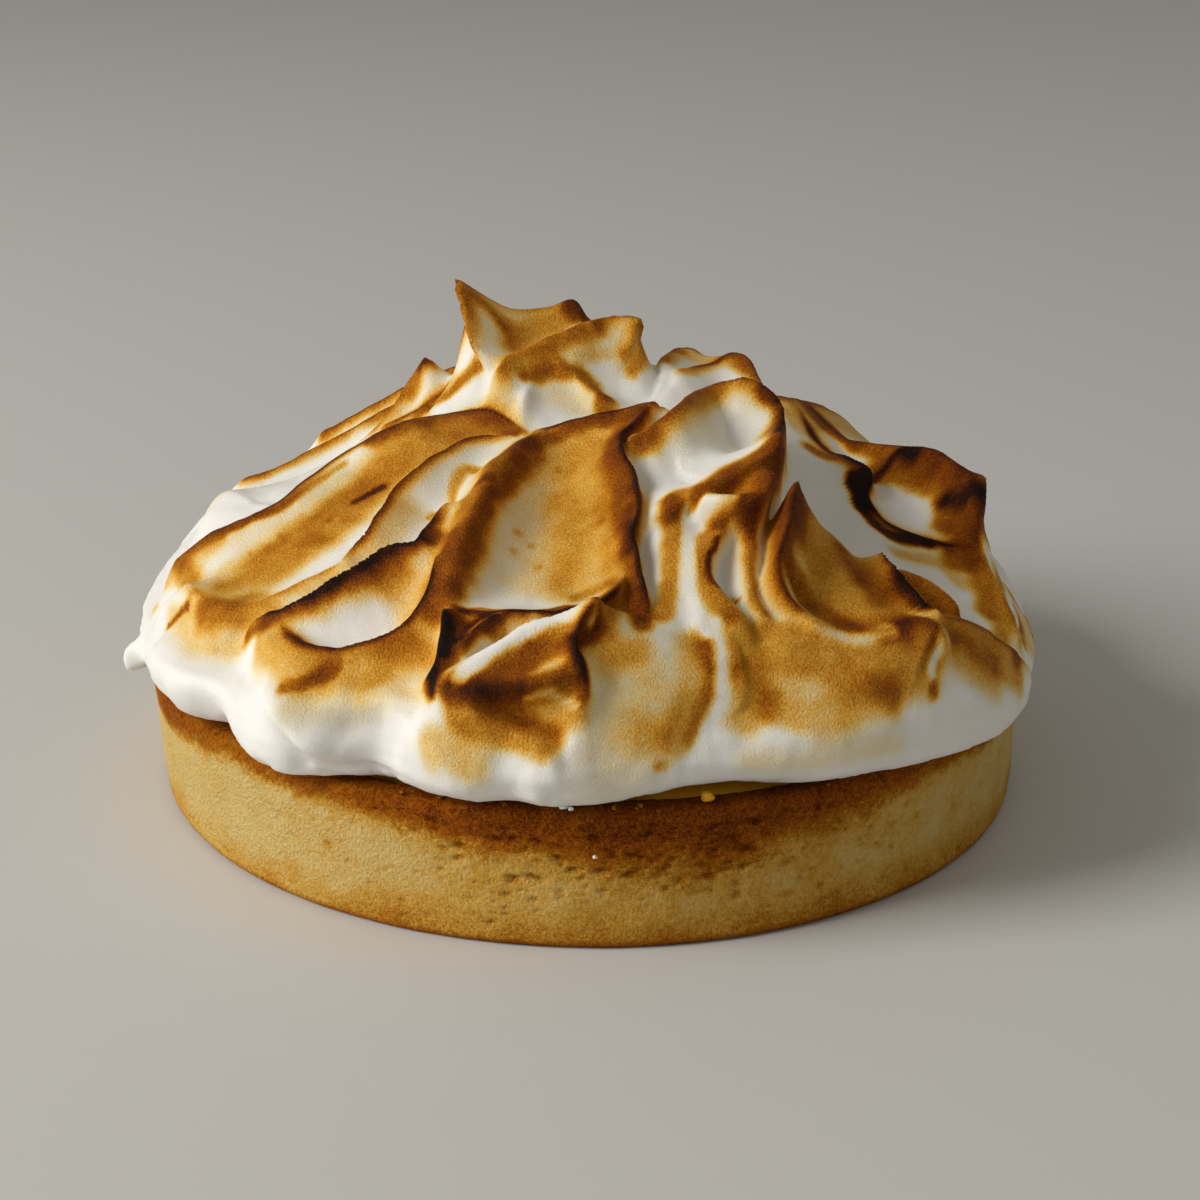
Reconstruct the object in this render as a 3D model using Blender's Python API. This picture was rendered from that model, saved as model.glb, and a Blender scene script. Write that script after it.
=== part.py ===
"""Lemon meringue tart: a shortcrust shell filled to the brim with lemon curd, under a dome
of meringue that a palette knife has pulled into folds, curls and peaks.

Blender 4.5 script. The sizes below are in millimetres and the meshes are in metres. +Z is up,
the tart stands on z = 0, the shell is centred on the Z axis, and -Y is its front.
"""

from collections import namedtuple
from math import cos, pi, radians, sin

import bpy
import numpy as np

MM = 0.001

# Shortcrust shell, baked in a 120 x 20 mm tart ring
FOOT_RADIUS = 60.0
RIM_RADIUS = 60.8
CRUST_HEIGHT = 19.0
FLOOR_THICKNESS = 4.0
INNER_RADIUS = 56.2
FOOT_ROUND = 1.2
RIM_ROUND = 1.5
RIM_DRIFT = 0.8
WALL_WAVE = 0.3
RIM_DIP = 0.35
CRUST_SEGMENTS = 96

# Lemon curd, a disc that fills the shell
FIT_GAP = 0.3
CURD_TOP = 18.85
CURD_EDGE_DROP = 0.7
CURD_SEGMENTS = 64

# Meringue dome: half of its outline as (radius, height), from the top to the underside
MERINGUE_BASE = 19.3
DOME_OUTLINE = (
    (0.0, 50.0),
    (20.0, 47.5),
    (35.0, 42.0),
    (48.0, 36.0),
    (57.0, 31.0),
    (62.0, 26.0),
    (63.5, 22.5),
    (62.0, 20.2),
    (59.5, MERINGUE_BASE),
)
OUTLINE_STEPS = 40
GRID_SIDE = 210
MERINGUE_TRIANGLES = 9800
EDGE_FADE = 8.0
BLEND_POWER = 5.0

# The dome's lower edge wanders in and out over the rim: (degrees from the front towards +X,
# half width in degrees, how far outwards)
EdgeWave = namedtuple("EdgeWave", "azimuth width out")
EDGE_WAVES = (
    EdgeWave(-76, 10, -0.6),
    EdgeWave(-47.5, 4, -5),
    EdgeWave(-35, 6.5, 3.4),
    EdgeWave(-25, 8, -3),
    EdgeWave(-8, 3, -2),
    EdgeWave(15, 11, -4.8),
    EdgeWave(52, 12, 2.6),
    EdgeWave(88, 18, -4.6),
    EdgeWave(128, 14, 1.5),
    EdgeWave(160, 14, -1.5),
    EdgeWave(-160, 12, 1.5),
    EdgeWave(-120, 14, -1),
)
BULGE_SHARE = 0.55

# Soft lumps of meringue. x and y are measured along the dome's skin from its top.
Mound = namedtuple("Mound", "x y reach_x reach_y turn lift power")
MOUNDS = (
    Mound(-2, 12, 20, 11, 0, 3, 2.5),
    Mound(-63, -6, 9, 18, 0, -2.4, 2.5),
    Mound(62, 0, 8, 20, 0, -2.6, 2.5),
    Mound(-42, 22, 14, 12, 0, -2, 2.5),
    Mound(10, -58, 10, 11, 0, 3, 2.5),
    Mound(36, -52, 22, 8, 20, 3.2, 2.5),
    Mound(-34, -58, 16, 7, -25, 1.6, 2.5),
    Mound(50, -4, 9, 14, -10, 0.6, 2.5),
    Mound(-32, -62.5, 9, 4.5, -27, -4.2, 2.5),
)

# Folds: a crest along a curve of (x, y, lift), with the reach of its right and left flank as
# the curve runs, how soft the crest is, and how far it leans to its left
Fold = namedtuple("Fold", "name path right left softness lean")
FOLDS = (
    Fold("left_rim", ((-8.5, -9, 0.5), (-13.5, -3, 2.25), (-18, -2, 2.75), (-22, -3, 3.5),
          (-25.5, -5, 4.25), (-34, -6, 3.25), (-42, -14, 3.25), (-50.5, -15.5, 3.75),
          (-58.5, -14.5, 3.75)),
         2.5, 6, 0.15, -0.9),
    Fold("left_second", ((-10, -15, 3.5), (-15, -16, 4.5), (-20.5, -22, 5.75), (-24, -26, 5.5),
          (-26.5, -31.5, 5.25), (-31, -35, 3.5)),
         1.8, 3.6, 0.1, -1),
    Fold("left_scoop_lip", ((-31, -35, 3.5), (-37.5, -36, 3), (-44, -37, 3), (-49, -33.5, 3),
          (-54, -27, 3.75)),
         2.6, 3, 0.3, 0),
    Fold("left_third", ((-17, -31, 5.25), (-20.5, -37.5, 6), (-25, -38.5, 6.25), (-30.5, -41.5, 6),
          (-36, -43, 5.25), (-41, -42.5, 4.25), (-45, -41.5, 3)),
         1.8, 4, 0.1, -1),
    Fold("scoop_four_lip", ((-39, -44, 3), (-35.5, -48.5, 3.25), (-30, -52, 3.5), (-25, -52, 4.25),
          (-21.5, -50.5, 5), (-19, -47, 5.75), (-18, -41, 5.5)),
         3.8, 2, 0.1, 0.9),
    Fold("left_lump", ((-44, -42, 3.25), (-40, -46, 3.5), (-36, -50, 3.25), (-33.5, -52.5, 2.25)),
         3, 3.5, 0.5, 0),
    Fold("left_end_arc", ((-60, -23, 2.25), (-55, -26.5, 3), (-50.5, -32, 3.25), (-48, -37, 3)),
         3, 3, 0.5, 0),
    Fold("left_back_lump", ((-55.5, 0, 3.5), (-53, 3, 3.75), (-49.5, 5, 1.75), (-45, 7.5, 0.5),
          (-39.5, 8.5, 0.5)),
         6, 4, 0.5, 0),
    Fold("big_ridge", ((-6, -14.5, 4), (-10.5, -22, 6), (-13, -29, 7.25), (-15.5, -38, 7.25),
          (-17, -45.5, 6.25), (-18, -48.5, 5.25)),
         3.2, 3, 0.6, 0.4),
    Fold("face_top", ((-7, -16, 4), (-3.5, -15, 5), (1, -14.5, 6), (6.5, -13.5, 7), (9, -13.5, 7)),
         6, 2.5, 0.1, 0.5),
    Fold("face_right", ((7.5, -13, 7), (3, -20, 7), (3.5, -25, 7), (5, -33.5, 7), (4.5, -41, 6.5),
          (6, -48, 5), (7, -52, 1.5)),
         4, 2, 0.15, 0.8),
    Fold("face_bottom", ((-17.5, -48.5, 5.25), (-13, -50, 5.5), (-7, -51.5, 6), (-3, -50, 5.75),
          (0.5, -50, 6), (3, -46, 5.5)),
         1.8, 5, 0.1, -1.2),
    Fold("front_a_left", ((-17, -51, 7), (-17, -54, 6.75), (-17.5, -57.5, 6), (-19, -60, 4.75)),
         1.6, 3.6, 0.2, -0.4),
    Fold("front_a_right", ((-6.5, -52, 6.25), (-10, -52, 6.75), (-13, -53.5, 6.75), (-15, -56, 6.25)),
         3.6, 1.8, 0.25, 0.3),
    Fold("front_b_upper", ((-16.5, -60, 5.75), (-12.5, -58, 6.75), (-8, -56, 7.5), (-3.5, -54, 7.5),
          (0.5, -52.5, 7.25)),
         5.5, 2.2, 0.3, 0.3),
    Fold("front_b_lower", ((-17, -60.5, 6.5), (-12.5, -61.5, 7.5), (-7, -61.5, 7.5),
          (-1.5, -60, 6.5)),
         1.8, 5, 0.2, -0.3),
    Fold("front_b_right", ((0.5, -53, 8.25), (-1.5, -56.5, 7.25), (-2, -58.5, 7.25),
          (-1, -60, 6.25), (-0.5, -62.5, 4.75)),
         3.5, 1.6, 0.2, 0.4),
    Fold("skirt_lip", ((-30.5, -58, 3.25), (-23.5, -60, 3), (-16.5, -62.5, 3)),
         2, 3.4, 0.4, 0),
    Fold("skirt_lobe", ((-39.5, -51.5, 2), (-37.5, -57, 4.25), (-35, -60.5, 6), (-33, -62.5, 4.75)),
         1.3, 4, 0.45, 0),
    Fold("skirt_mid", ((-24, -61, 2.75), (-20.5, -65, 3.25), (-14.5, -68, 3), (-7, -70, 2.75)),
         3, 2.4, 0.5, 0),
    Fold("left_end_lobe", ((-61, -31.5, 2), (-55.5, -41, 3), (-49.5, -48, 2.75), (-45.5, -50.5, 1.5)),
         2.2, 3, 0.6, 0),
    Fold("nub", ((-69, -19, 1.5), (-71, -20, 8)),
         1.1, 1.1, 0.2, 0),
    Fold("right_skirt", ((16.5, -66.5, 1), (25, -64, 2.25), (35.5, -58.5, 1.5), (45.5, -51, 0.5),
          (54, -42.5, 0.75)),
         2.2, 2.6, 0.5, 0),
    Fold("right_skirt_low", ((13, -69, 0.5), (22, -67, 1.5), (33.5, -62, 1.5), (45.5, -54.5, 0.5)),
         1.6, 1.8, 0.6, 0),
    Fold("front_below", ((-16.5, -60, 4.5), (-13.5, -63.5, 4.25), (-8.5, -66.5, 3.75), (-5, -68, 3)),
         4, 3, 0.3, 0),
    Fold("lobe_left_crease", ((1.5, -54.5, 2.75), (-0.5, -61, 2.75), (-1.5, -66, 2.5),
          (-2.5, -71, 1)),
         3, 3.5, 0.5, 0),
    Fold("lobe_right", ((12.5, -47.5, 3.25), (15.5, -55, 1.5), (15, -61, 0.5), (12.5, -65.5, 0.5)),
         2.2, 6, 0.4, 0),
    Fold("front_brow", ((17, -53.5, 2), (19, -59, 1), (18, -63, 0.75)),
         5, 1.6, 0.2, 0.5),
    Fold("tongue_top", ((5.5, -21.5, 7), (8, -20.5, 8.5), (11, -17.5, 10), (15, -7.5, 8.25),
          (18, -7.5, 10.25), (20.5, -9, 10.25), (22, -11, 9.25)),
         5.5, 2.2, 0.3, 0.9),
    Fold("tongue_low", ((8, -35.5, 6), (10.5, -32.5, 8.25), (13, -32, 10.25), (16, -30.5, 12),
          (18.5, -28.5, 13.25), (20, -27, 13.5)),
         2.6, 6, 0.6, -1.2),
    Fold("tongue_end", ((20, -26, 13.25), (23.5, -11.5, 7.5)),
         2.2, 3, 0.3, 0),
    Fold("bulge", ((14, -34.5, 10), (16.5, -35.5, 11.5), (19, -35, 12.25), (20, -31.5, 13)),
         1.4, 4, 0.45, -0.7),
    Fold("pear_left", ((18, -35, 7.25), (16, -36.5, 7), (14, -40, 6.75), (13.5, -44, 6),
          (15, -47, 5.25), (18, -50, 4.25)),
         3, 2, 0.7, 0.5),
    Fold("white_band", ((14.5, -30, 5.75), (12.5, -33.5, 5.5), (12, -39, 5.25), (12, -43.5, 4.5),
          (13, -48, 3.25)),
         2.4, 2.4, 1, 0),
    Fold("pear_right", ((18.5, -35, 7), (19, -38, 6.75), (19, -41.5, 6.25), (19.5, -45.5, 5.5),
          (21.5, -49, 4)),
         1.9, 2.4, 0.6, 0.2),
    Fold("face_column", ((9.5, -33, 6.75), (10, -39, 6), (10, -45, 4.75), (9, -50.5, 2.5)),
         3.2, 2.8, 1, 0),
    Fold("horn", ((24, -33.5, 13.5), (23.5, -37, 12.5), (23, -41, 11), (22.5, -43.5, 9.5),
          (24, -46.5, 7), (27, -48.5, 4.5)),
         2, 4.5, 0.2, -0.6),
    Fold("horn_face", ((28.5, -34.5, 6.5), (31.5, -39.5, 6), (36, -43, 4.5)),
         5, 5, 1, 0),
    Fold("right_shelf", ((24.5, -49, 3.75), (29.5, -48.5, 3), (35.5, -47.5, 3), (38.5, -45.5, 4.5),
          (41, -44, 5.25), (43, -45, 4.25), (43.5, -47, 1.75)),
         4.5, 2.6, 0.3, 0),
    Fold("right_facet", ((42, -42, 5.5), (46, -40, 5.25), (52.5, -37, 4), (59, -34.5, 2.25)),
         5, 2.2, 0.15, 0),
    Fold("lobe_back", ((29, 12, 1.25), (33, 10, 2.75), (37.5, 7, 3.75), (42, 3, 6), (46, -1, 8.5),
          (49, -5, 9.25), (51.5, -9, 9), (53, -12, 6.75)),
         2.6, 7, 0.25, -2.2),
    Fold("lobe_inner", ((29, 7, 1.5), (32, 2, 1.5), (34.5, -2, 3), (37, -6, 3.75),
          (37.5, -10, 1.75), (39.5, -13.5, 0.5), (43, -15.5, 0.5), (47.5, -15.5, 1),
          (52.5, -15.5, 2)),
         3.2, 2, 0.12, 0.7),
    Fold("lobe_wall", ((52, -7, 8.75), (53.5, -11, 5.75), (53, -15.5, 2.75)),
         3, 2.2, 0.3, 0.6),
    Fold("black_edge", ((36, -34, 6.75), (37, -37.5, 7.5), (39, -40.5, 6.75), (42, -41.5, 5.25)),
         3, 1.5, 0.15, 0.6),
    Fold("leaf", ((39, -36, 6.75), (42.5, -36, 6.25), (45.5, -37.5, 5.5), (45, -39, 4.5)),
         2.2, 2.2, 0.4, 0),
    Fold("side_fall", ((54, -15.5, 3.75), (56, -21.5, 3.25), (58, -26.5, 2.5), (60, -31.5, 1.5)),
         2.4, 2.4, 0.3, 0),
    Fold("curl", ((-28.5, 4, 2.5), (-22.5, 5, 2.5), (-18.5, 6, 2.75), (-15.5, 6.5, 5),
          (-14.5, 6.5, 8.25), (-14.5, 6.5, 11)),
         2.4, 3.2, 0.2, 0.4),
    Fold("curl_tip", ((-12, 4, 9.5), (-13, 7.5, 16.75), (-12, 11, 11.5)),
         4.4, 2.2, 0.12, 3.6),
    Fold("cap_edge", ((-15, 7, 12), (-12, 8.5, 11.75), (-8.5, 10, 10.75), (-5.5, 11, 10.5),
          (-2.5, 12, 11.25), (-0.5, 12.5, 8.5)),
         4.5, 3, 0.25, 0),
    Fold("cap_band", ((-11.5, 1, 7), (-8.5, 3.5, 7.25), (-4, 6, 8), (0.5, 9, 8.75), (3.5, 10, 9.25),
          (5, 9.5, 8.5)),
         3, 2.2, 0.3, 0.3),
    Fold("cap_lobe", ((5, 10, 8.25), (4.5, 8.5, 5.75), (3, 6.5, 2.75)),
         3.4, 1.1, 0.25, 2.6),
    Fold("small_peak", ((-32, 5, 2), (-27.5, 7, 3.5), (-24.5, 8.5, 6), (-21.5, 9, 8.25)),
         3, 3, 0.2, 0),
    Fold("cream_block", ((-9.5, -6, 1.25), (-9, -3, 3.5), (-7.5, 1, 4)),
         2, 3, 0.2, 0),
    Fold("arch", ((-8.5, 3, 3.5), (-6, 4, 4.5), (-3.5, 3.5, 4.5), (-0.5, 2, 3.25), (2, 0, 2.5)),
         2.2, 2.2, 0.15, -0.8),
    Fold("white_twist", ((-2, 5, 5), (0.5, 7, 4.75), (3.5, 7.5, 3.75), (5.5, 7.5, 2.25)),
         2.2, 2.5, 0.25, 0),
    Fold("back_lump", ((4, 8, 0.5), (7, 9.5, 1), (10.5, 8, 1.5), (13.5, 4, 1.75)),
         2.5, 2.5, 0.4, 0),
    Fold("back_knob", ((5.5, 13.5, 1), (10, 15.5, 2.25), (14.5, 17, 4.5), (17.5, 16.5, 7),
          (20, 14.5, 8), (21.5, 11, 6.5)),
         3.5, 3, 0.4, 0),
)
CREST_STEPS = 6

# The back carries the same kind of knife strokes, set out by rule: each has a long crest and,
# near the edge, a lip that the knife has pushed up in front of it
BACK_STROKES = 6
BACK_FROM = 4.0
BACK_STEP = 23.0
BACK_TWIST = 42.0
BACK_RADII = (15.0, 29.0, 43.0, 57.0)
BACK_LIFTS = (4.5, 7.5, 7.5, 4.5)
LIP_TURNS = (0.0, -11.0, -21.0)
LIP_RADII = (57.0, 61.5, 62.0)
LIP_LIFTS = (4.0, 3.6, 1.6)

CRUST_COLOUR = (0.62, 0.36, 0.13, 1.0)
CURD_COLOUR = (0.83, 0.55, 0.06, 1.0)
MERINGUE_COLOUR = (0.84, 0.76, 0.62, 1.0)


def clear_scene():
    """Removes every object that is already in the file."""
    for old in list(bpy.data.objects):
        bpy.data.objects.remove(old, do_unlink=True)


def make_material(name, colour, roughness):
    """A plain Principled material."""
    material = bpy.data.materials.new(name)
    material.use_nodes = True
    shader = material.node_tree.nodes["Principled BSDF"]
    shader.inputs["Base Color"].default_value = colour
    shader.inputs["Roughness"].default_value = roughness
    shader.inputs["Metallic"].default_value = 0.0
    return material


def add_object(name, points, faces, material):
    """Makes a smooth-shaded mesh object from points in millimetres."""
    mesh = bpy.data.meshes.new(name)
    mesh.from_pydata((np.asarray(points) * MM).tolist(), [], faces)
    mesh.materials.append(material)
    mesh.shade_smooth()
    mesh.set_sharp_from_angle(angle=radians(50))
    mesh.validate()
    thing = bpy.data.objects.new(name, mesh)
    bpy.context.scene.collection.objects.link(thing)
    return thing


def quarter_round(centre, size, start, steps=3):
    """Points of a quarter circle about centre, from start degrees, turning anticlockwise."""
    turns = [radians(start + 90.0 * k / steps) for k in range(steps + 1)]
    return [(centre[0] + size * cos(a), centre[1] + size * sin(a)) for a in turns]


def smoothstep(value, low, high):
    """0 below low, 1 above high, and an even S between them."""
    t = np.clip((value - low) / (high - low), 0.0, 1.0)
    return t * t * (3.0 - 2.0 * t)


def turned_faces(rings, segments):
    """Faces of a closed turned body: its rings run from the underside's centre, up the outside,
    to the top's centre, and each end is closed by a fan to one point."""
    faces = []
    for ring in range(rings - 1):
        low = ring * segments
        for k in range(segments):
            after = (k + 1) % segments
            faces.append((low + k, low + after, low + segments + after, low + segments + k))
    bottom = rings * segments
    top_ring = (rings - 1) * segments
    for k in range(segments):
        after = (k + 1) % segments
        faces.append((bottom, after, k))
        faces.append((bottom + 1, top_ring + k, top_ring + after))
    return faces


def crust_profile():
    """(radius, height) pairs up the outside, over the rim and down to the inner floor."""
    outer = [(FOOT_RADIUS * 0.5, 0.0)]
    outer += quarter_round((FOOT_RADIUS - FOOT_ROUND, FOOT_ROUND), FOOT_ROUND, -90.0)
    outer.append((FOOT_RADIUS + 0.35, CRUST_HEIGHT * 0.45))
    rim_outer = (RIM_RADIUS - RIM_ROUND, CRUST_HEIGHT - RIM_ROUND)
    rim_inner = (INNER_RADIUS + RIM_ROUND, CRUST_HEIGHT - RIM_ROUND)
    rim = quarter_round(rim_outer, RIM_ROUND, 0.0) + quarter_round(rim_inner, RIM_ROUND, 90.0)
    inner = [(INNER_RADIUS, CRUST_HEIGHT * 0.5), (INNER_RADIUS - 0.2, FLOOR_THICKNESS + 1.2)]
    inner += [(INNER_RADIUS - 1.4, FLOOR_THICKNESS), (INNER_RADIUS * 0.5, FLOOR_THICKNESS)]
    return np.array(outer + rim + inner)


def build_crust(material):
    """The shell: a turned wall and floor whose outside waves a little and leans to one side."""
    profile = crust_profile()
    turn = np.arange(CRUST_SEGMENTS) * 2.0 * pi / CRUST_SEGMENTS
    radius, angle = np.meshgrid(profile[:, 0], turn, indexing="ij")
    height = np.meshgrid(profile[:, 1], turn, indexing="ij")[0]
    outside = smoothstep(radius, INNER_RADIUS + 0.2, INNER_RADIUS + 2.0)
    share = np.clip(height / CRUST_HEIGHT, 0.0, 1.0)
    wave = np.sin(3 * angle + 0.7) + 0.6 * np.sin(7 * angle + 2.1) + 0.4 * np.sin(11 * angle)
    radius = radius + WALL_WAVE * 0.5 * wave * outside * share
    dip = RIM_DIP * (0.5 + 0.3 * np.sin(5 * angle + 1.0) + 0.2 * np.sin(9 * angle + 0.4))
    height = height - dip * smoothstep(height, CRUST_HEIGHT - 3.0, CRUST_HEIGHT)
    x = radius * np.cos(angle) - RIM_DRIFT * outside * share
    y = radius * np.sin(angle)
    rings = np.stack([x, y, height], axis=-1).reshape(-1, 3)
    ends = [(0.0, 0.0, 0.0), (0.0, 0.0, FLOOR_THICKNESS)]
    points = np.vstack([rings, ends])
    return add_object("crust", points, turned_faces(len(profile), CRUST_SEGMENTS), material)


def build_curd(material):
    """The curd: a turned disc that fills the shell, a little lower at its edge."""
    wall = INNER_RADIUS - FIT_GAP
    floor = FLOOR_THICKNESS + FIT_GAP
    edge = CURD_TOP - CURD_EDGE_DROP
    profile = np.array([
        (wall * 0.5, floor), (wall - 1.6, floor), (wall - 0.2, floor + 1.4), (wall, edge * 0.6),
        (wall, edge - 0.5), (wall - 0.5, edge), (wall - 4.0, CURD_TOP), (wall * 0.5, CURD_TOP),
    ])
    turn = np.arange(CURD_SEGMENTS) * 2.0 * pi / CURD_SEGMENTS
    radius, angle = np.meshgrid(profile[:, 0], turn, indexing="ij")
    height = np.meshgrid(profile[:, 1], turn, indexing="ij")[0]
    rings = np.stack([radius * np.cos(angle), radius * np.sin(angle), height], axis=-1)
    points = np.vstack([rings.reshape(-1, 3), [(0.0, 0.0, floor), (0.0, 0.0, CURD_TOP)]])
    return add_object("lemon_curd", points, turned_faces(len(profile), CURD_SEGMENTS), material)


def smooth_curve(points, steps):
    """A Catmull-Rom curve through the points, with so many steps in each span."""
    knots = np.array(points, float)
    knots = np.vstack([2 * knots[0] - knots[1], knots, 2 * knots[-1] - knots[-2]])
    t = (np.arange(steps) / steps)[:, None]
    spans = []
    for a, b, c, d in zip(knots, knots[1:], knots[2:], knots[3:]):
        bend = (2 * a - 5 * b + 4 * c - d) * t**2 + (3 * b - a - 3 * c + d) * t**3
        spans.append(0.5 * (2 * b + (c - a) * t + bend))
    return np.vstack(spans + [knots[-2:-1]])


def outline_table():
    """The dome's outline as skin length from the top, radius and height."""
    mirrored = [(-DOME_OUTLINE[1][0], DOME_OUTLINE[1][1])] + list(DOME_OUTLINE)
    curve = smooth_curve(mirrored, OUTLINE_STEPS)[OUTLINE_STEPS:]
    length = np.concatenate([[0.0], np.cumsum(np.hypot(*np.diff(curve, axis=0).T))])
    return length, curve[:, 0], curve[:, 1]


SKIN, SKIN_RADIUS, SKIN_HEIGHT = outline_table()
SKIN_END = SKIN[-1]


def edge_shift(azimuth):
    """How far the lower edge stands out at an azimuth in degrees from the front."""
    shift = np.zeros_like(azimuth)
    for wave in EDGE_WAVES:
        away = (azimuth - wave.azimuth + 180.0) % 360.0 - 180.0
        shift += wave.out * np.exp(-((away / wave.width) ** 2))
    return shift


def dome(x, y):
    """Points and outward normals of the smooth dome at skin coordinates (x, y)."""
    reach = np.hypot(x, y)
    angle = np.arctan2(y, x)
    shift = edge_shift(np.degrees(angle) + 90.0)
    bulge = smoothstep(reach, SKIN_END - 28.0, SKIN_END - 9.0)
    lip = smoothstep(reach, SKIN_END - 8.0, SKIN_END)
    radius = np.interp(reach, SKIN, SKIN_RADIUS)
    radius = radius + shift * (BULGE_SHARE * bulge + (1.0 - BULGE_SHARE) * lip)
    height = np.interp(reach, SKIN, SKIN_HEIGHT)
    fore, back = reach + 0.5, np.maximum(reach - 0.5, 0.0)
    run = np.interp(fore, SKIN, SKIN_RADIUS) - np.interp(back, SKIN, SKIN_RADIUS)
    rise = np.interp(fore, SKIN, SKIN_HEIGHT) - np.interp(back, SKIN, SKIN_HEIGHT)
    size = np.hypot(run, rise)
    out, up = -rise / size, run / size
    points = np.stack([radius * np.cos(angle), radius * np.sin(angle), height], axis=-1)
    normals = np.stack([out * np.cos(angle), out * np.sin(angle), up], axis=-1)
    return points, normals


def mound_lift(x, y):
    """The soft lumps: each is its lift times exp(-(distance over reach) ** power)."""
    lift = np.zeros_like(x)
    for mound in MOUNDS:
        turn = radians(mound.turn)
        across = ((x - mound.x) * cos(turn) + (y - mound.y) * sin(turn)) / mound.reach_x
        along = ((y - mound.y) * cos(turn) - (x - mound.x) * sin(turn)) / mound.reach_y
        lift += mound.lift * np.exp(-((across**2 + along**2) ** (mound.power / 2)))
    return lift


def nearest_on_crest(x, y, crest):
    """For each point, the nearest place of the crest: its distance, the signed distance to the
    left of the crest's line, the crest's lift there, and the unit vector to the left."""
    distance = np.full(x.shape, np.inf)
    beside, lift, left_x, left_y = (np.zeros(x.shape) for _ in range(4))
    for (ax, ay, az), (bx, by, bz) in zip(crest, crest[1:]):
        step_x, step_y = bx - ax, by - ay
        size = max(np.hypot(step_x, step_y), 1e-6)
        t = np.clip(((x - ax) * step_x + (y - ay) * step_y) / size**2, 0.0, 1.0)
        away = np.hypot(x - ax - t * step_x, y - ay - t * step_y)
        nearer = away < distance
        distance = np.where(nearer, away, distance)
        beside = np.where(nearer, (step_x * (y - ay) - step_y * (x - ax)) / size, beside)
        lift = np.where(nearer, az + t * (bz - az), lift)
        left_x = np.where(nearer, -step_y / size, left_x)
        left_y = np.where(nearer, step_x / size, left_y)
    return distance, beside, lift, left_x, left_y


def polar(turn, reach, lift):
    """A knot of a crest at turn degrees round the dome from +X."""
    return reach * cos(radians(turn)), reach * sin(radians(turn)), lift


def back_folds():
    """Knife strokes over the back: each runs from near the top out to the edge, turning a
    little as it goes, with a steep flank and a long hollow one, and ends in a lip."""
    folds = []
    last = len(BACK_RADII) - 1
    for k in range(BACK_STROKES):
        start = BACK_FROM + BACK_STEP * k + 5.0 * sin(2.4 * k)
        share = 0.5 + 0.5 * sin(pi * (k + 0.5) / BACK_STROKES)
        crest = []
        for step, (reach, lift) in enumerate(zip(BACK_RADII, BACK_LIFTS)):
            high = share * (lift + 0.9 * sin(3.1 * k + step))
            crest.append(polar(start + BACK_TWIST * step / last, reach, high))
        lip = []
        for turn, reach, lift in zip(LIP_TURNS, LIP_RADII, LIP_LIFTS):
            lip.append(polar(start + BACK_TWIST + turn, reach, share * lift))
        folds.append(Fold(f"back_stroke_{k}", crest, 8.0, 2.6, 0.2, 1.6))
        folds.append(Fold(f"back_lip_{k}", lip, 2.6, 4.0, 0.35, 0.4))
    return folds


def meringue_surface(x, y):
    """The sculpted skin at skin coordinates (x, y). Each fold lifts the skin along the dome's
    normal by its crest's lift times exp(-distance over flank reach). The folds are joined by a
    power mean, so that the highest one leads, and a leaning crest slides the skin sideways."""
    total, slide_x, slide_y = (np.zeros(x.shape) for _ in range(3))
    for fold in list(FOLDS) + back_folds():
        crest = smooth_curve(fold.path, CREST_STEPS)
        distance, beside, lift, left_x, left_y = nearest_on_crest(x, y, crest)
        to_left = 0.5 + 0.5 * np.tanh(beside / 0.8)
        flank = fold.right * (1.0 - to_left) + fold.left * to_left
        fall = np.sqrt((distance / flank) ** 2 + fold.softness**2) - fold.softness
        weight = np.exp(-fall)
        power = np.maximum(lift * weight, 0.0) ** BLEND_POWER
        total += power
        slide_x += power * fold.lean * weight**1.5 * left_x
        slide_y += power * fold.lean * weight**1.5 * left_y
    fade = 1.0 - smoothstep(np.hypot(x, y), SKIN_END - EDGE_FADE, SKIN_END)
    slide = fade / (total + 1e-9)
    points, normals = dome(x + slide_x * slide, y + slide_y * slide)
    lift = (mound_lift(x, y) + total ** (1.0 / BLEND_POWER)) * fade
    return points + normals * lift[..., None]


def disc_grid(side):
    """Skin coordinates of a square grid that is bent into the dome's disc, ring by ring."""
    line = np.linspace(-1.0, 1.0, side)
    a, b = np.meshgrid(line, line, indexing="ij")
    wide = np.abs(a) > np.abs(b)
    ring = np.where(wide, a, b)
    share = np.where(wide, b, a) / np.where(ring == 0.0, 1.0, ring)
    angle = np.where(wide, pi / 4 * share, pi / 2 - pi / 4 * share)
    return SKIN_END * ring * np.cos(angle), SKIN_END * ring * np.sin(angle)


def grid_faces(side):
    """Quads of the grid, and the loop of its border points in order."""
    index = np.arange(side * side).reshape(side, side)
    quads = np.stack([index[:-1, :-1], index[1:, :-1], index[1:, 1:], index[:-1, 1:]], axis=-1)
    border = np.concatenate([index[:-1, 0], index[-1, :-1], index[:0:-1, -1], index[0, :0:-1]])
    return quads.reshape(-1, 4).tolist(), border.tolist()


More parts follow.
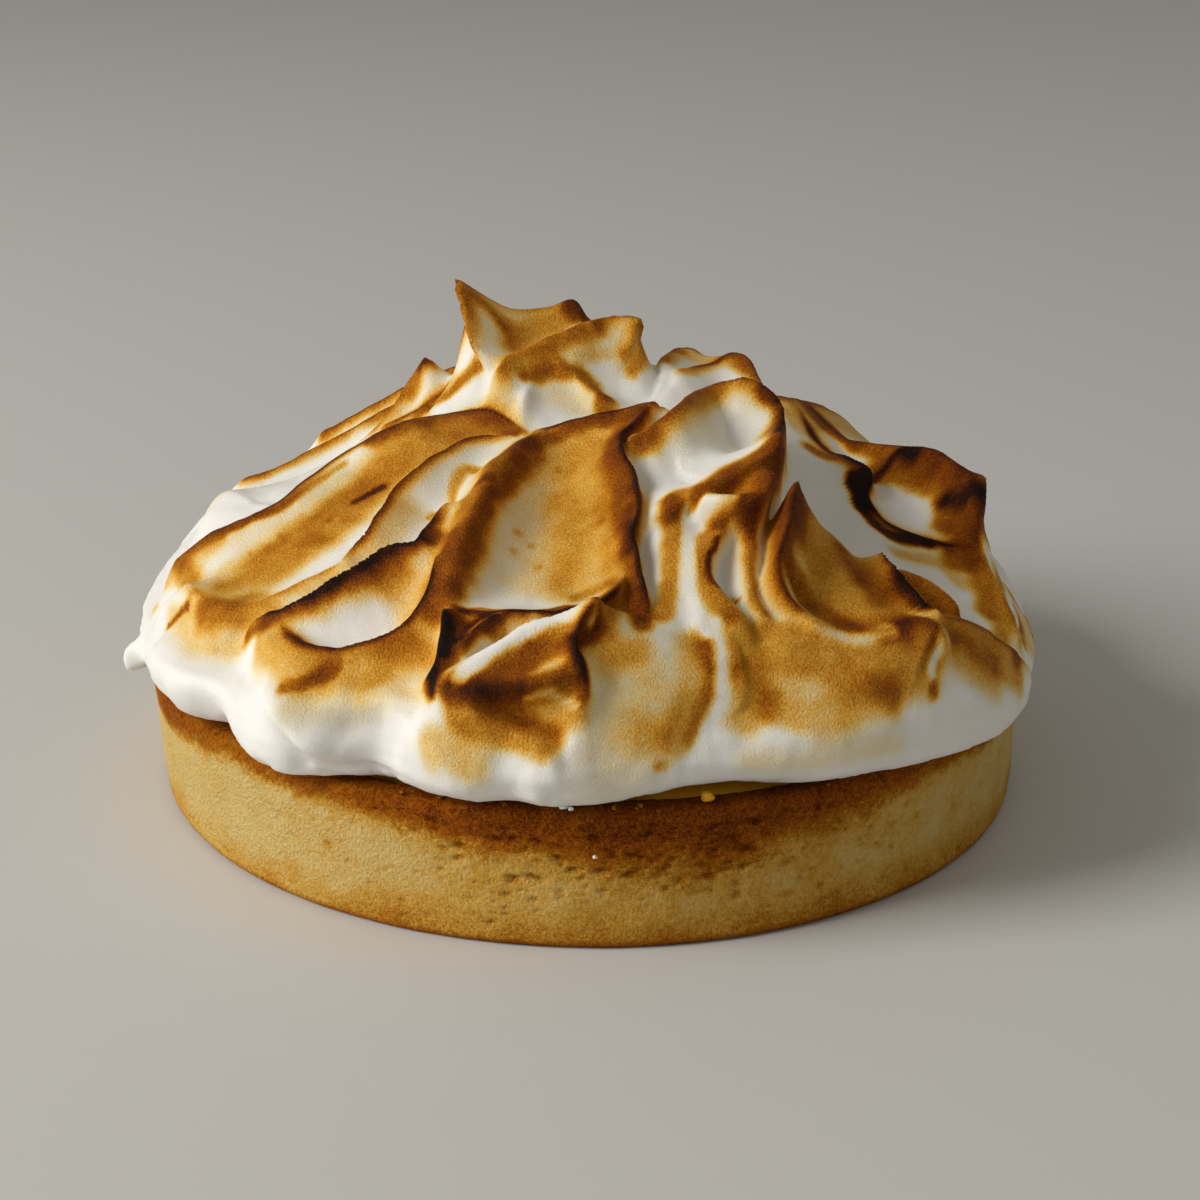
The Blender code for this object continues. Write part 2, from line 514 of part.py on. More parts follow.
def build_meringue(material):
    """The meringue: the sculpted skin, closed by a flat underside just above curd and rim."""
    x, y = disc_grid(GRID_SIDE)
    skin = meringue_surface(x, y).reshape(-1, 3)
    faces, border = grid_faces(GRID_SIDE)
    inner = skin[border] * (0.5, 0.5, 1.0)
    inner_start = len(skin)
    centre = inner_start + len(border)
    points = np.vstack([skin, inner, [(0.0, 0.0, MERINGUE_BASE)]])
    for k, here in enumerate(border):
        after = (k + 1) % len(border)
        faces.append((border[after], here, inner_start + k, inner_start + after))
        faces.append((inner_start + after, inner_start + k, centre))
    meringue = add_object("meringue", points, faces, material)
    full = 2 * (GRID_SIDE - 1) ** 2 + 3 * len(border)
    thin = meringue.modifiers.new("fewer faces", "DECIMATE")
    thin.ratio = MERINGUE_TRIANGLES / full
    return meringue


def main():
    """Builds the tart's three pieces."""
    clear_scene()
    build_crust(make_material("shortcrust", CRUST_COLOUR, 0.8))
    build_curd(make_material("lemon curd", CURD_COLOUR, 0.3))
    build_meringue(make_material("torched meringue", MERINGUE_COLOUR, 0.6))


main()
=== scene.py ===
"""Looks of the lemon meringue tart: the finish of the shortcrust shell, the lemon curd and the
torched meringue, with the crumbs that cling to them, on a pale floor in soft studio light.

Sizes are in millimetres and become metres as they enter a mesh. +Z is up, the shell is centred
on the Z axis and -Y is the tart's front.
"""

from __future__ import annotations

import logging
import math
from dataclasses import dataclass, field
from enum import Enum

import bpy
import numpy as np
from mathutils import Matrix, Vector

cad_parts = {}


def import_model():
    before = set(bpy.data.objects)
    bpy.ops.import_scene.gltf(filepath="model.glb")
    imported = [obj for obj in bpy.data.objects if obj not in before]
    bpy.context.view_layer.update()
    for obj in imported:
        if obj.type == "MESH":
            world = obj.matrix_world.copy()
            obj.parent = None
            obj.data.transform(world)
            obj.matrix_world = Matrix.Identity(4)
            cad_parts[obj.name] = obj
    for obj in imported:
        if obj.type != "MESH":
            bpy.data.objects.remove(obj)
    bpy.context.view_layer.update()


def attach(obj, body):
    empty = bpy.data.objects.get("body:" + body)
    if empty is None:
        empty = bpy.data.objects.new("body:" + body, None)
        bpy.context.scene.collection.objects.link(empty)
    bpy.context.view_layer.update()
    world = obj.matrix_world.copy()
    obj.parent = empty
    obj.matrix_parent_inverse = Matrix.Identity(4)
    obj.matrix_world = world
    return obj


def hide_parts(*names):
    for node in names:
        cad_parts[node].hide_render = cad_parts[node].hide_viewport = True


LOG = logging.getLogger("tart")
MM = 0.001
BODY = "root"


class Slot(Enum):
    """The record's material slots."""

    CRUST = "shortcrust"
    CURD = "curd"
    MERINGUE = "torched_meringue"


# ---- Shape helpers -----------------------------------------------------------


def smoothstep(value: np.ndarray, low: float, high: float) -> np.ndarray:
    """An even S from 0 at low to 1 at high.

    Args:
        value: The values to map.
        low: Where the S starts.
        high: Where the S ends.

    Returns:
        t * t * (3 - 2 t), with t the share of the way from low to high.
    """
    t = np.clip((value - low) / (high - low), 0.0, 1.0)
    return t * t * (3.0 - 2.0 * t)


def smooth_curve(points: list | tuple | np.ndarray, steps: int) -> np.ndarray:
    """A Catmull-Rom curve through points.

    Args:
        points: The knots, one row each.
        steps: Points in each span between two knots.

    Returns:
        The curve's points: half of (2 b + (c - a) t + (2 a - 5 b + 4 c - d) t squared
        + (3 b - a - 3 c + d) t cubed) for each four knots a, b, c and d in a row.
    """
    knots = np.array(points, float)
    knots = np.vstack([2 * knots[0] - knots[1], knots, 2 * knots[-1] - knots[-2]])
    t = (np.arange(steps) / steps)[:, None]
    spans = []
    for a, b, c, d in zip(knots, knots[1:], knots[2:], knots[3:]):
        bend = (2 * a - 5 * b + 4 * c - d) * t**2 + (3 * b - a - 3 * c + d) * t**3
        spans.append(0.5 * (2 * b + (c - a) * t + bend))
    return np.vstack(spans + [knots[-2:-1]])


@dataclass(frozen=True)
class Nearness:
    """How points of a plane lie to a curve in it.

    Attributes:
        distance: Distance to the curve.
        beside: Signed distance to the left of the curve's line.
        lift: The curve's third coordinate at its nearest point.
        share: How far along the curve the nearest point lies, from 0 to 1.
        left_x: X of the unit vector to the curve's left.
        left_y: Y of that vector.
    """

    distance: np.ndarray
    beside: np.ndarray
    lift: np.ndarray
    share: np.ndarray
    left_x: np.ndarray
    left_y: np.ndarray


def near_curve(x: np.ndarray, y: np.ndarray, curve: np.ndarray) -> Nearness:
    """The nearest place of a curve for each point, found span by span.

    Args:
        x: Plane x of the points.
        y: Plane y of the points.
        curve: Rows of x, y and lift.

    Returns:
        The nearest span's values at the foot of the perpendicular on it.
    """
    distance = np.full(x.shape, np.inf)
    beside, lift, share, left_x, left_y = (np.zeros(x.shape) for _ in range(5))
    sizes = np.maximum(np.hypot(*np.diff(curve[:, :2], axis=0).T), 1e-6)
    starts = np.concatenate([[0.0], np.cumsum(sizes)])
    for (ax, ay, az), (bx, by, bz), size, start in zip(curve, curve[1:], sizes, starts):
        step_x, step_y = bx - ax, by - ay
        t = np.clip(((x - ax) * step_x + (y - ay) * step_y) / size**2, 0.0, 1.0)
        away = np.hypot(x - ax - t * step_x, y - ay - t * step_y)
        nearer = away < distance
        distance = np.where(nearer, away, distance)
        beside = np.where(nearer, (step_x * (y - ay) - step_y * (x - ax)) / size, beside)
        lift = np.where(nearer, az + t * (bz - az), lift)
        share = np.where(nearer, (start + t * size) / starts[-1], share)
        left_x = np.where(nearer, -step_y / size, left_x)
        left_y = np.where(nearer, step_x / size, left_y)
    return Nearness(distance, beside, lift, share, left_x, left_y)


@dataclass(frozen=True)
class Grain:
    """Smooth seeded noise on a plane that repeats.

    Attributes:
        seed: Seed of the random draw.
        cells_x: Cells before the noise repeats in x.
        cells_y: Cells before it repeats in y.
    """

    seed: int
    cells_x: int = 97
    cells_y: int = 97

    def __call__(self, x: np.ndarray, y: np.ndarray) -> np.ndarray:
        """Random heights at whole x and y, joined by an S curve each way.

        Args:
            x: Plane x, in cells.
            y: Plane y, in cells.

        Returns:
            Noise from -1 to 1.
        """
        heights = np.random.default_rng(self.seed).uniform(-1, 1, (self.cells_x, self.cells_y))
        left, low = np.floor(x).astype(int), np.floor(y).astype(int)
        across, up = x - left, y - low
        across = across**3 * (across * (across * 6 - 15) + 10)
        up = up**3 * (up * (up * 6 - 15) + 10)
        right, high = (left + 1) % self.cells_x, (low + 1) % self.cells_y
        left, low = left % self.cells_x, low % self.cells_y
        bottom = heights[left, low] * (1 - across) + heights[right, low] * across
        top = heights[left, high] * (1 - across) + heights[right, high] * across
        return bottom * (1 - up) + top * up

    def layered(self, x: np.ndarray, y: np.ndarray, layers: int) -> np.ndarray:
        """Noise summed over layers, each twice as fine and half as strong.

        Args:
            x: Plane x, in cells of the first layer.
            y: Plane y, in cells of the first layer.
            layers: How many layers.

        Returns:
            The sum, from about -1 to 1.
        """
        total = sum(self(x * 2**k, y * 2**k) / 2**k for k in range(layers))
        return total / (2.0 - 0.5 ** (layers - 1))


def make_piece(
    name: str,
    points: np.ndarray,
    quads: np.ndarray,
    material: bpy.types.Material,
    marks: dict[str, np.ndarray] | None = None,
) -> bpy.types.Object:
    """Puts points and four-cornered faces into a smooth mesh object at the origin.

    Args:
        name: The object's name.
        points: Rows of x, y and z in millimetres.
        quads: Rows of four point numbers. A row that repeats its last number is a triangle.
        material: The finish.
        marks: Named values, one for each point, that the finish reads as attributes.

    Returns:
        The new object.
    """
    mesh = bpy.data.meshes.new(name)
    sizes = np.where(quads[:, 2] == quads[:, 3], 3, 4)
    keep = np.ones(quads.shape, bool)
    keep[:, 3] = sizes == 4
    mesh.vertices.add(len(points))
    mesh.vertices.foreach_set("co", (np.asarray(points, float) * MM).ravel())
    mesh.loops.add(int(sizes.sum()))
    mesh.loops.foreach_set("vertex_index", quads[keep].ravel())
    mesh.polygons.add(len(quads))
    mesh.polygons.foreach_set("loop_start", np.concatenate([[0], np.cumsum(sizes)[:-1]]))
    for key, values in (marks or {}).items():
        attribute = mesh.attributes.new(key, "FLOAT", "POINT")
        attribute.data.foreach_set("value", np.asarray(values, np.float32).ravel())
    mesh.materials.append(material)
    mesh.update(calc_edges=True)
    mesh.shade_smooth()
    thing = bpy.data.objects.new(name, mesh)
    bpy.context.scene.collection.objects.link(thing)
    return thing


def turned_quads(rings: int, segments: int) -> np.ndarray:
    """Faces of a closed turned body with two end points after its rings.

    Args:
        rings: Rings of points, from the underside's centre round the outside to the top's.
        segments: Points in each ring.

    Returns:
        Quads between neighbouring rings, and a fan of triangles at each end.
    """
    ring, k = np.meshgrid(np.arange(rings - 1), np.arange(segments), indexing="ij")
    low, after = ring * segments, (k + 1) % segments
    sides = np.stack([low + k, low + after, low + segments + after, low + segments + k], -1)
    k = np.arange(segments)
    after = (k + 1) % segments
    bottom, top_ring = np.full(segments, rings * segments), (rings - 1) * segments
    under = np.stack([bottom, after, k, k], -1)
    over = np.stack([bottom + 1, top_ring + k, top_ring + after, top_ring + after], -1)
    return np.vstack([sides.reshape(-1, 4), under, over])


# ---- Finishes ----------------------------------------------------------------


class NodeBench:
    """Short ways to add and join shader nodes in one material."""

    def __init__(self, name: str) -> None:
        """Makes a new material with a Principled shader.

        Args:
            name: The material's name.
        """
        self.material = bpy.data.materials.new(name)
        self.material.use_nodes = True
        self.nodes = self.material.node_tree.nodes
        self.links = self.material.node_tree.links
        self.shader = self.nodes["Principled BSDF"]
        self.place = self.nodes.new("ShaderNodeTexCoord").outputs["Object"]

    def join(self, source: bpy.types.NodeSocket, target: bpy.types.NodeSocket) -> None:
        """Links two sockets."""
        self.links.new(source, target)

    def mark(self, name: str) -> bpy.types.NodeSocket:
        """The value of a named point attribute."""
        node = self.nodes.new("ShaderNodeAttribute")
        node.attribute_name = name
        return node.outputs["Fac"]

    def noise(self, scale: float, detail: float = 3.0, rough: float = 0.55) -> bpy.types.NodeSocket:
        """Noise on object coordinates, with scale in cells to the metre."""
        node = self.nodes.new("ShaderNodeTexNoise")
        node.inputs["Scale"].default_value = scale
        node.inputs["Detail"].default_value = detail
        node.inputs["Roughness"].default_value = rough
        self.join(self.place, node.inputs["Vector"])
        return node.outputs["Fac"]

    def specks(self, scale: float) -> bpy.types.NodeSocket:
        """Distance to scattered points on object coordinates."""
        node = self.nodes.new("ShaderNodeTexVoronoi")
        node.inputs["Scale"].default_value = scale
        self.join(self.place, node.inputs["Vector"])
        return node.outputs["Distance"]

    def math(self, how: str, a: object, b: object = 0.0, clamp: bool = False) -> bpy.types.NodeSocket:
        """A Math node on two sockets or numbers."""
        node = self.nodes.new("ShaderNodeMath")
        node.operation = how
        node.use_clamp = clamp
        for socket, value in zip(node.inputs, (a, b)):
            if isinstance(value, bpy.types.NodeSocket):
                self.join(value, socket)
            else:
                socket.default_value = value
        return node.outputs[0]

    def spread(
        self, value: bpy.types.NodeSocket, low: float, high: float, to_low: float, to_high: float
    ) -> bpy.types.NodeSocket:
        """Maps a value from one range to another, clamped."""
        node = self.nodes.new("ShaderNodeMapRange")
        self.join(value, node.inputs["Value"])
        keys = ("From Min", "From Max", "To Min", "To Max")
        for key, number in zip(keys, (low, high, to_low, to_high)):
            node.inputs[key].default_value = number
        return node.outputs["Result"]

    def ramp(self, value: bpy.types.NodeSocket, stops: tuple) -> bpy.types.NodeSocket:
        """A colour ramp through (place, (red, green, blue)) stops."""
        node = self.nodes.new("ShaderNodeValToRGB")
        bar = node.color_ramp
        while len(bar.elements) < len(stops):
            bar.elements.new(0.5)
        for element, (place, colour) in zip(bar.elements, stops):
            element.position = place
            element.color = (*colour, 1.0)
        self.join(value, node.inputs["Fac"])
        return node.outputs["Color"]

    def relief(
        self, height: bpy.types.NodeSocket, depth: float, under: bpy.types.NodeSocket | None = None
    ) -> bpy.types.NodeSocket:
        """A Bump node of a depth in metres, over an earlier one."""
        node = self.nodes.new("ShaderNodeBump")
        node.inputs["Strength"].default_value = 1.0
        node.inputs["Distance"].default_value = depth
        self.join(height, node.inputs["Height"])
        if under is not None:
            self.join(under, node.inputs["Normal"])
        return node.outputs["Normal"]

    def set(self, key: str, value: object) -> None:
        """Sets or links an input of the Principled shader."""
        socket = self.shader.inputs[key]
        if isinstance(value, bpy.types.NodeSocket):
            self.join(value, socket)
        else:
            socket.default_value = value


@dataclass(frozen=True)
class MeringueFinish:
    """White meringue that a torch has taken from cream through gold and brown to black."""

    stops: tuple = (
        (0.00, (0.85, 0.835, 0.80)),
        (0.10, (0.86, 0.80, 0.64)),
        (0.22, (0.90, 0.68, 0.30)),
        (0.36, (0.89, 0.47, 0.060)),
        (0.50, (0.66, 0.24, 0.009)),
        (0.64, (0.35, 0.090, 0.002)),
        (0.78, (0.15, 0.030, 0.002)),
        (0.90, (0.040, 0.011, 0.003)),
        (1.00, (0.012, 0.006, 0.004)),
    )
    scatter: float = 0.0016
    scatter_weight: float = 0.35

    def make(self) -> bpy.types.Material:
        """Reads the torch attribute, breaks it up with grain, and colours it by the ramp.

        Returns:
            The material.
        """
        bench = NodeBench("torched meringue")
        torch = bench.mark("torch")
        coarse = bench.spread(bench.noise(420.0, 4.0, 0.6), 0.3, 0.7, -1.0, 1.0)
        fine = bench.spread(bench.noise(3400.0, 3.0, 0.65), 0.32, 0.68, -1.0, 1.0)
        grain = bench.math("MULTIPLY", coarse, 0.035)
        grain = bench.math("ADD", grain, bench.math("MULTIPLY", fine, 0.075))
        hold = bench.spread(torch, 0.03, 0.30, 0.0, 1.0)
        toned = bench.math("ADD", torch, bench.math("MULTIPLY", grain, hold), clamp=True)
        bench.set("Base Color", bench.ramp(toned, self.stops))
        bench.set("Roughness", bench.spread(toned, 0.0, 0.9, 0.40, 0.62))
        baked = bench.math("MULTIPLY", fine, bench.spread(torch, 0.0, 0.5, 0.12, 1.0))
        bench.set("Normal", bench.relief(baked, 0.00012))
        bench.set("Specular IOR Level", bench.spread(toned, 0.0, 0.4, 0.36, 0.10))
        bench.set("Subsurface Weight", bench.spread(toned, 0.05, 0.45, self.scatter_weight, 0.04))
        bench.set("Subsurface Radius", (1.0, 0.75, 0.5))
        bench.set("Subsurface Scale", self.scatter)
        return bench.material


@dataclass(frozen=True)
class CrustFinish:
    """Sandy baked shortcrust: pale wall, brown rim and a thin brown line at the foot."""

    stops: tuple = (
        (0.00, (1.00, 0.73, 0.27)),
        (0.22, (0.91, 0.50, 0.078)),
        (0.45, (0.60, 0.225, 0.010)),
        (0.68, (0.48, 0.125, 0.003)),
        (1.00, (0.17, 0.030, 0.001)),
    )

    def make(self) -> bpy.types.Material:
        """Reads the browning attribute, which also holds painted shade, and adds sandy grain.

        Returns:
            The material.
        """
        bench = NodeBench("baked shortcrust")
        # This attribute holds the crust's browning plus painted shade on its front right and in its pits.
        bake_and_painted_shade = bench.mark("bake_and_painted_shade")
        sand = bench.spread(bench.noise(2200.0, 4.0, 0.7), 0.3, 0.7, -1.0, 1.0)
        cloud = bench.spread(bench.noise(150.0, 5.0, 0.6), 0.3, 0.7, -1.0, 1.0)
        speck = bench.spread(bench.noise(5600.0, 2.0, 0.7), 0.35, 0.65, -1.0, 1.0)
        grain = bench.math("MULTIPLY", sand, bench.spread(bake_and_painted_shade, 0.1, 0.6, 0.09, 0.20))
        grain = bench.math("ADD", grain, bench.math("MULTIPLY", cloud, 0.11))
        speck = bench.math("MULTIPLY", speck, bench.spread(bake_and_painted_shade, 0.1, 0.6, 0.03, 0.14))
        grain = bench.math("ADD", grain, speck)
        bench.set("Base Color", bench.ramp(bench.math("ADD", bake_and_painted_shade, grain, clamp=True), self.stops))
        bench.set("Roughness", bench.spread(sand, -1.0, 1.0, 0.62, 0.85))
        pores = bench.relief(bench.specks(1300.0), 0.00012)
        bench.set("Normal", bench.relief(sand, 0.00024, pores))
        bench.set("Specular IOR Level", 0.06)
        return bench.material


@dataclass(frozen=True)
class CurdFinish:
    """Smooth, slightly clear lemon curd."""

    colour: tuple = (0.93, 0.52, 0.018)
    shade: tuple = (0.82, 0.36, 0.006)

    def make(self) -> bpy.types.Material:
        """A glossy yellow with soft clouds in it.

        Returns:
            The material.
        """
        bench = NodeBench("lemon curd")
        cloud = bench.noise(260.0, 3.0, 0.5)
        bench.set("Base Color", bench.ramp(cloud, ((0.3, self.shade), (0.65, self.colour))))
        bench.set("Roughness", 0.28)
        bench.set("Specular IOR Level", 0.25)
        bench.set("Subsurface Weight", 0.25)
        bench.set("Subsurface Radius", (1.0, 0.6, 0.2))
        bench.set("Subsurface Scale", 0.002)
        bench.set("Normal", bench.relief(bench.noise(500.0, 2.0, 0.5), 0.00006))
        return bench.material


@dataclass(frozen=True)
class FloorFinish:
    """Plain pale floor."""

    colour: tuple = (0.62, 0.62, 0.61, 1.0)

    def make(self) -> bpy.types.Material:
        """One even matt colour.

        Returns:
            The material.
        """
        bench = NodeBench("pale floor")
        bench.set("Base Color", self.colour)
        bench.set("Roughness", 0.7)
        return bench.material


# ---- Shortcrust shell --------------------------------------------------------


@dataclass
class CrustShell:
    """The baked shell: wall, rim, inner wall and floor as one turned skin with real pits.

    Attributes:
        foot_radius: Outer radius at the floor.
        rim_radius: Outer radius at the rim.
        height: Height of the rim.
        floor_thickness: Thickness of the floor.
        inner_radius: Radius of the inner wall.
        foot_round: Rounding at the foot.
        rim_round: Rounding of the rim's edges.
        rim_drift: How far the rim leans to the left.
        wall_wave: How far the wall wanders in and out.
        rim_dip: How far the rim dips.
        segments: Points round the shell.
        pits: How many pits the wall has.
        seed: Seed of the pits' random draw.
        pit_sizes: Least radius of a pit, and what the widest has more.
        pit_depths: Least and greatest depth of a pit, in radii.
        pit_stretch: How much longer than high a pit is, at least and at most.
        pit_levels: Heights between which the other pits lie.
        crowded_share: Share of the pits that crowd at the front.
        crowded_turn: Middle and spread of their angle.
        crowded_level: Middle and spread of their height.
        sand_cells: Cells of the sandy relief round the shell.
        sand: Depth of the sandy relief on the wall.
        rim_sand: What the rim has more of it.
        lumps: Depth of the coarser relief.
        crumble: How far crumbs have fallen from the rim.
        band_depth: How far the brown band reaches under the rim.
        patch_depth: How much further it reaches at the front.
        patch_turn: Angle and width of that patch.
        middle_turn: Angle and width of the side that is browner and also darkened with painted shade, as it
            is turned from the key light.
    """

    foot_radius: float = 60.0
    rim_radius: float = 60.8
    height: float = 19.0
    floor_thickness: float = 4.0
    inner_radius: float = 56.2
    foot_round: float = 1.2
    rim_round: float = 1.5
    rim_drift: float = 0.8
    wall_wave: float = 0.3
    rim_dip: float = 0.35
    segments: int = 900
    pits: int = 1500
    seed: int = 11
    pit_sizes: tuple = (0.13, 0.36)
    pit_depths: tuple = (0.6, 1.2)
    pit_stretch: tuple = (0.8, 2.4)
    pit_levels: tuple = (1.5, 16.5)
    crowded_share: float = 0.55
    crowded_turn: tuple = (-79.0, 17.0)
    crowded_level: tuple = (12.5, 3.2)
    sand_cells: int = 560
    sand: float = 0.035
    rim_sand: float = 0.2
    lumps: float = 0.16
    crumble: float = 0.34
    band_depth: float = 5.4
    patch_depth: float = 8.5
    patch_turn: tuple = (281.0, 22.0)
    middle_turn: tuple = (284.0, 42.0)

    def profile(self) -> np.ndarray:
        """Rows of radius, height and how much of the sandy relief the place takes.

        Returns:
            The outline up the outside, over the rim and down to the inner floor's centre.
        """
        foot = [(self.foot_radius * share, 0.0, 0.0) for share in (0.3, 0.9, 0.97)]
        low = self.foot_round
        foot += self._quarter(self.foot_radius - low, low, low, -90, 5, 0.5)
        wall_share = np.linspace(0.0, 1.0, 58)[1:-1]
        high = self.height - self.rim_round
        flare = self.rim_radius - self.foot_radius
        wall = [(self.foot_radius + flare * s, low + (high - low) * s, 1.0) for s in wall_share]
        rim = self._quarter(self.rim_radius - self.rim_round, high, self.rim_round, 0, 7, 1.0)
        rim += self._quarter(self.inner_radius + self.rim_round, high, self.rim_round, 90, 6, 0.6)
        inner = [(self.inner_radius, self.height * s, 0.0) for s in (0.75, 0.5)]
        inner.append((self.inner_radius - 0.2, self.floor_thickness + 1.2, 0.0))
        reaches = (self.inner_radius - 1.4, self.inner_radius * 0.5)
        inner += [(reach, self.floor_thickness, 0.0) for reach in reaches]
        return np.array(foot + wall + rim + inner)

    @staticmethod
    def _quarter(radius: float, height: float, size: float, start: float, steps: int, relief: float) -> list:
        """Points of a quarter circle from start degrees, turning anticlockwise."""
        turns = [math.radians(start + 90.0 * k / steps) for k in range(steps + 1)]
        return [(radius + size * math.cos(a), height + size * math.sin(a), relief) for a in turns]

    def pit_depth(self, angle: np.ndarray, height: np.ndarray) -> np.ndarray:
        """How deep the scattered pits go at places of the wall.

        Args:
            angle: Angle round the shell in radians.
            height: Height above the floor in millimetres.

        Returns:
            The sum over the pits of depth times exp(-(distance over radius) to the fourth).
        """
        draw = np.random.default_rng(self.seed)
        depth = np.zeros(angle.shape)
        around = angle[0]
        for _ in range(self.pits):
            crowded = draw.random() < self.crowded_share
            turn = draw.normal(*self.crowded_turn) if crowded else draw.uniform(-180, 180)
            turn = math.radians(turn) % (2 * math.pi)
            level = draw.normal(*self.crowded_level) if crowded else draw.uniform(*self.pit_levels)
            size = self.pit_sizes[0] + self.pit_sizes[1] * draw.random() ** 4
            deep = size * draw.uniform(*self.pit_depths)
            stretch = draw.uniform(*self.pit_stretch)
            away = (around - turn + math.pi) % (2 * math.pi) - math.pi
            columns = np.abs(away) * self.rim_radius < 2.2 * size * stretch
            along = away[columns][None, :] * self.rim_radius / (size * stretch)
            up = (height[:, columns] - level) / size + 0.5 * along * draw.uniform(-1, 1)
            depth[:, columns] += deep * np.exp(-((along**2 + up**2) ** 1.5))
        return depth

    def build(self, finish: CrustFinish) -> bpy.types.Object:
        """Turns the profile, then waves, leans, roughens and pits its outside.

        Args:
            finish: The shortcrust finish.

        Returns:
            The shell.
        """
        profile = self.profile()
        turn = np.arange(self.segments) * 2.0 * math.pi / self.segments
        radius, angle = np.meshgrid(profile[:, 0], turn, indexing="ij")
        height = np.meshgrid(profile[:, 1], turn, indexing="ij")[0]
        relief = np.meshgrid(profile[:, 2], turn, indexing="ij")[0]
        outside = smoothstep(radius, self.inner_radius + 0.2, self.inner_radius + 2.0)
        share = np.clip(height / self.height, 0.0, 1.0)
        wave = np.sin(3 * angle + 0.7) + 0.6 * np.sin(7 * angle + 2.1) + 0.4 * np.sin(11 * angle)
        cells = self.sand_cells
        across, up = angle / (2 * math.pi) * cells, (height + radius - self.foot_radius) / 0.67
        sand = Grain(3, cells, 61).layered(across, up, 2)
        coarse = Grain(5, cells // 8, 61).layered(across / 8, up / 8, 2)
        pit = self.pit_depth(angle, height)
        rim_rough = smoothstep(height, self.height - 3.5, self.height - 0.5)
        rough = (self.sand + self.rim_sand * rim_rough) * sand + self.lumps * coarse - pit
        radius = radius + self.wall_wave * 0.5 * wave * outside * share + rough * relief
        dip = self.rim_dip * (0.5 + 0.3 * np.sin(5 * angle + 1.0) + 0.2 * np.sin(9 * angle + 0.4))
        crumble = self.crumble * np.abs(Grain(8, cells, 61)(across, up)) * relief
        height = height - (dip + crumble) * smoothstep(height, self.height - 3.0, self.height)
        x = radius * np.cos(angle) - self.rim_drift * outside * share
        points = np.stack([x, radius * np.sin(angle), height], axis=-1).reshape(-1, 3)
        points = np.vstack([points, [(0.0, 0.0, 0.0), (0.0, 0.0, self.floor_thickness)]])
        bake_and_painted_shade = np.append(self.bake_and_painted_shade(angle, height, sand, pit).ravel(), [0.5, 0.3])
        quads = turned_quads(len(profile), self.segments)
        return make_piece("crust_skin", points, quads, finish.make(), {"bake_and_painted_shade": bake_and_painted_shade})

    def bake_and_painted_shade(
        self, angle: np.ndarray, height: np.ndarray, sand: np.ndarray, pit: np.ndarray
    ) -> np.ndarray:
        """How brown the crust is, from 0 to 1, with painted shade added on one side and in the pits.

        Args:
            angle: Angle round the shell in radians.
            height: Height above the floor.
            sand: The sandy relief.
            pit: The depth of the pits.

        Returns:
            A wandering brown band under the rim, a thin line at the foot, a side that is browner and also
            darkened with painted shade, and pits darkened with painted shade.
        """
        drift = Grain(21, 24, 7)(angle / (2 * math.pi) * 24, height / 9.0)
        middle, patch = (
            np.exp(-(((np.degrees(angle) - place) / width) ** 2))
            for place, width in (self.middle_turn, self.patch_turn)
        )
        lobes = Grain(23, 60, 7).layered(angle / (2 * math.pi) * 60, height / 4.0, 2)
        low = self.height - self.band_depth - self.patch_depth * patch
        band = smoothstep(height + 0.9 * drift + 1.3 * lobes + 0.5 * sand, low, self.height - 1.2)
        foot = 0.3 * (1.0 - smoothstep(height, 0.2, 1.5))
        foot = foot + 0.24 * (1.0 - smoothstep(height + lobes, 0.5, 7.0))
        # The middle term is partly real browning and partly painted shade on the front, a little to the
        # right, where the crust is turned from the key light.
        body = 0.05 * drift + 0.20 * middle + 0.06 * sand
        # The pit term is painted shade: the deeper a pit, the darker it is painted.
        return np.clip(body + 0.66 * band**1.25 + foot + 0.30 * pit, 0.0, 1.0)


# ---- Lemon curd --------------------------------------------------------------


@dataclass
class LemonCurd:
    """The curd: a turned disc with a soft edge and a faintly uneven surface.

    Attributes:
        wall: Radius of the disc.
        floor: Height of its underside.
        top: Height of its surface.
        edge_drop: How far the surface drops towards the edge.
        edge_width: Width of that drop.
        dip: Half the depth of the unevenness.
        segments: Points round the disc.
    """

    wall: float = 55.9
    floor: float = 4.3
    top: float = 18.85
    edge_drop: float = 0.7
    edge_width: float = 4.0
    dip: float = 0.1
    segments: int = 240

    def build(self, finish: CurdFinish) -> bpy.types.Object:
        """Turns the outline and lets the top dip by up to a fifth of a millimetre.

        Args:
            finish: The curd finish.

        Returns:
            The curd.
        """
        edge = self.top - self.edge_drop
        share = np.linspace(0.0, 1.0, 9)
        brim_height = edge + self.edge_drop * np.sin(share * math.pi / 2)
        brim = np.stack([self.wall - self.edge_width * share**1.6, brim_height], -1)
        start = [(self.wall * 0.5, self.floor), (self.wall - 1.6, self.floor)]
        start.append((self.wall - 0.2, self.floor + 1.4))
        end = [(self.wall - r, self.top) for r in (6.0, 9.0, 14.0, 24.0, 40.0)]
        profile = np.vstack([start, [(self.wall, edge * 0.6), (self.wall, edge - 0.5)], brim, end])
        turn = np.arange(self.segments) * 2.0 * math.pi / self.segments
        radius, angle = np.meshgrid(profile[:, 0], turn, indexing="ij")
        height = np.meshgrid(profile[:, 1], turn, indexing="ij")[0]
        x, y = radius * np.cos(angle), radius * np.sin(angle)
        dip = self.dip + self.dip * Grain(31)(x / 3.0 + 40, y / 3.0 + 40)
        height = height - dip * smoothstep(height, edge - 0.6, edge)
        points = np.stack([x, y, height], axis=-1).reshape(-1, 3)
        points = np.vstack([points, [(0.0, 0.0, self.floor), (0.0, 0.0, self.top - self.dip)]])
        return make_piece("curd_fill", points, turned_quads(len(profile), self.segments), finish.make())


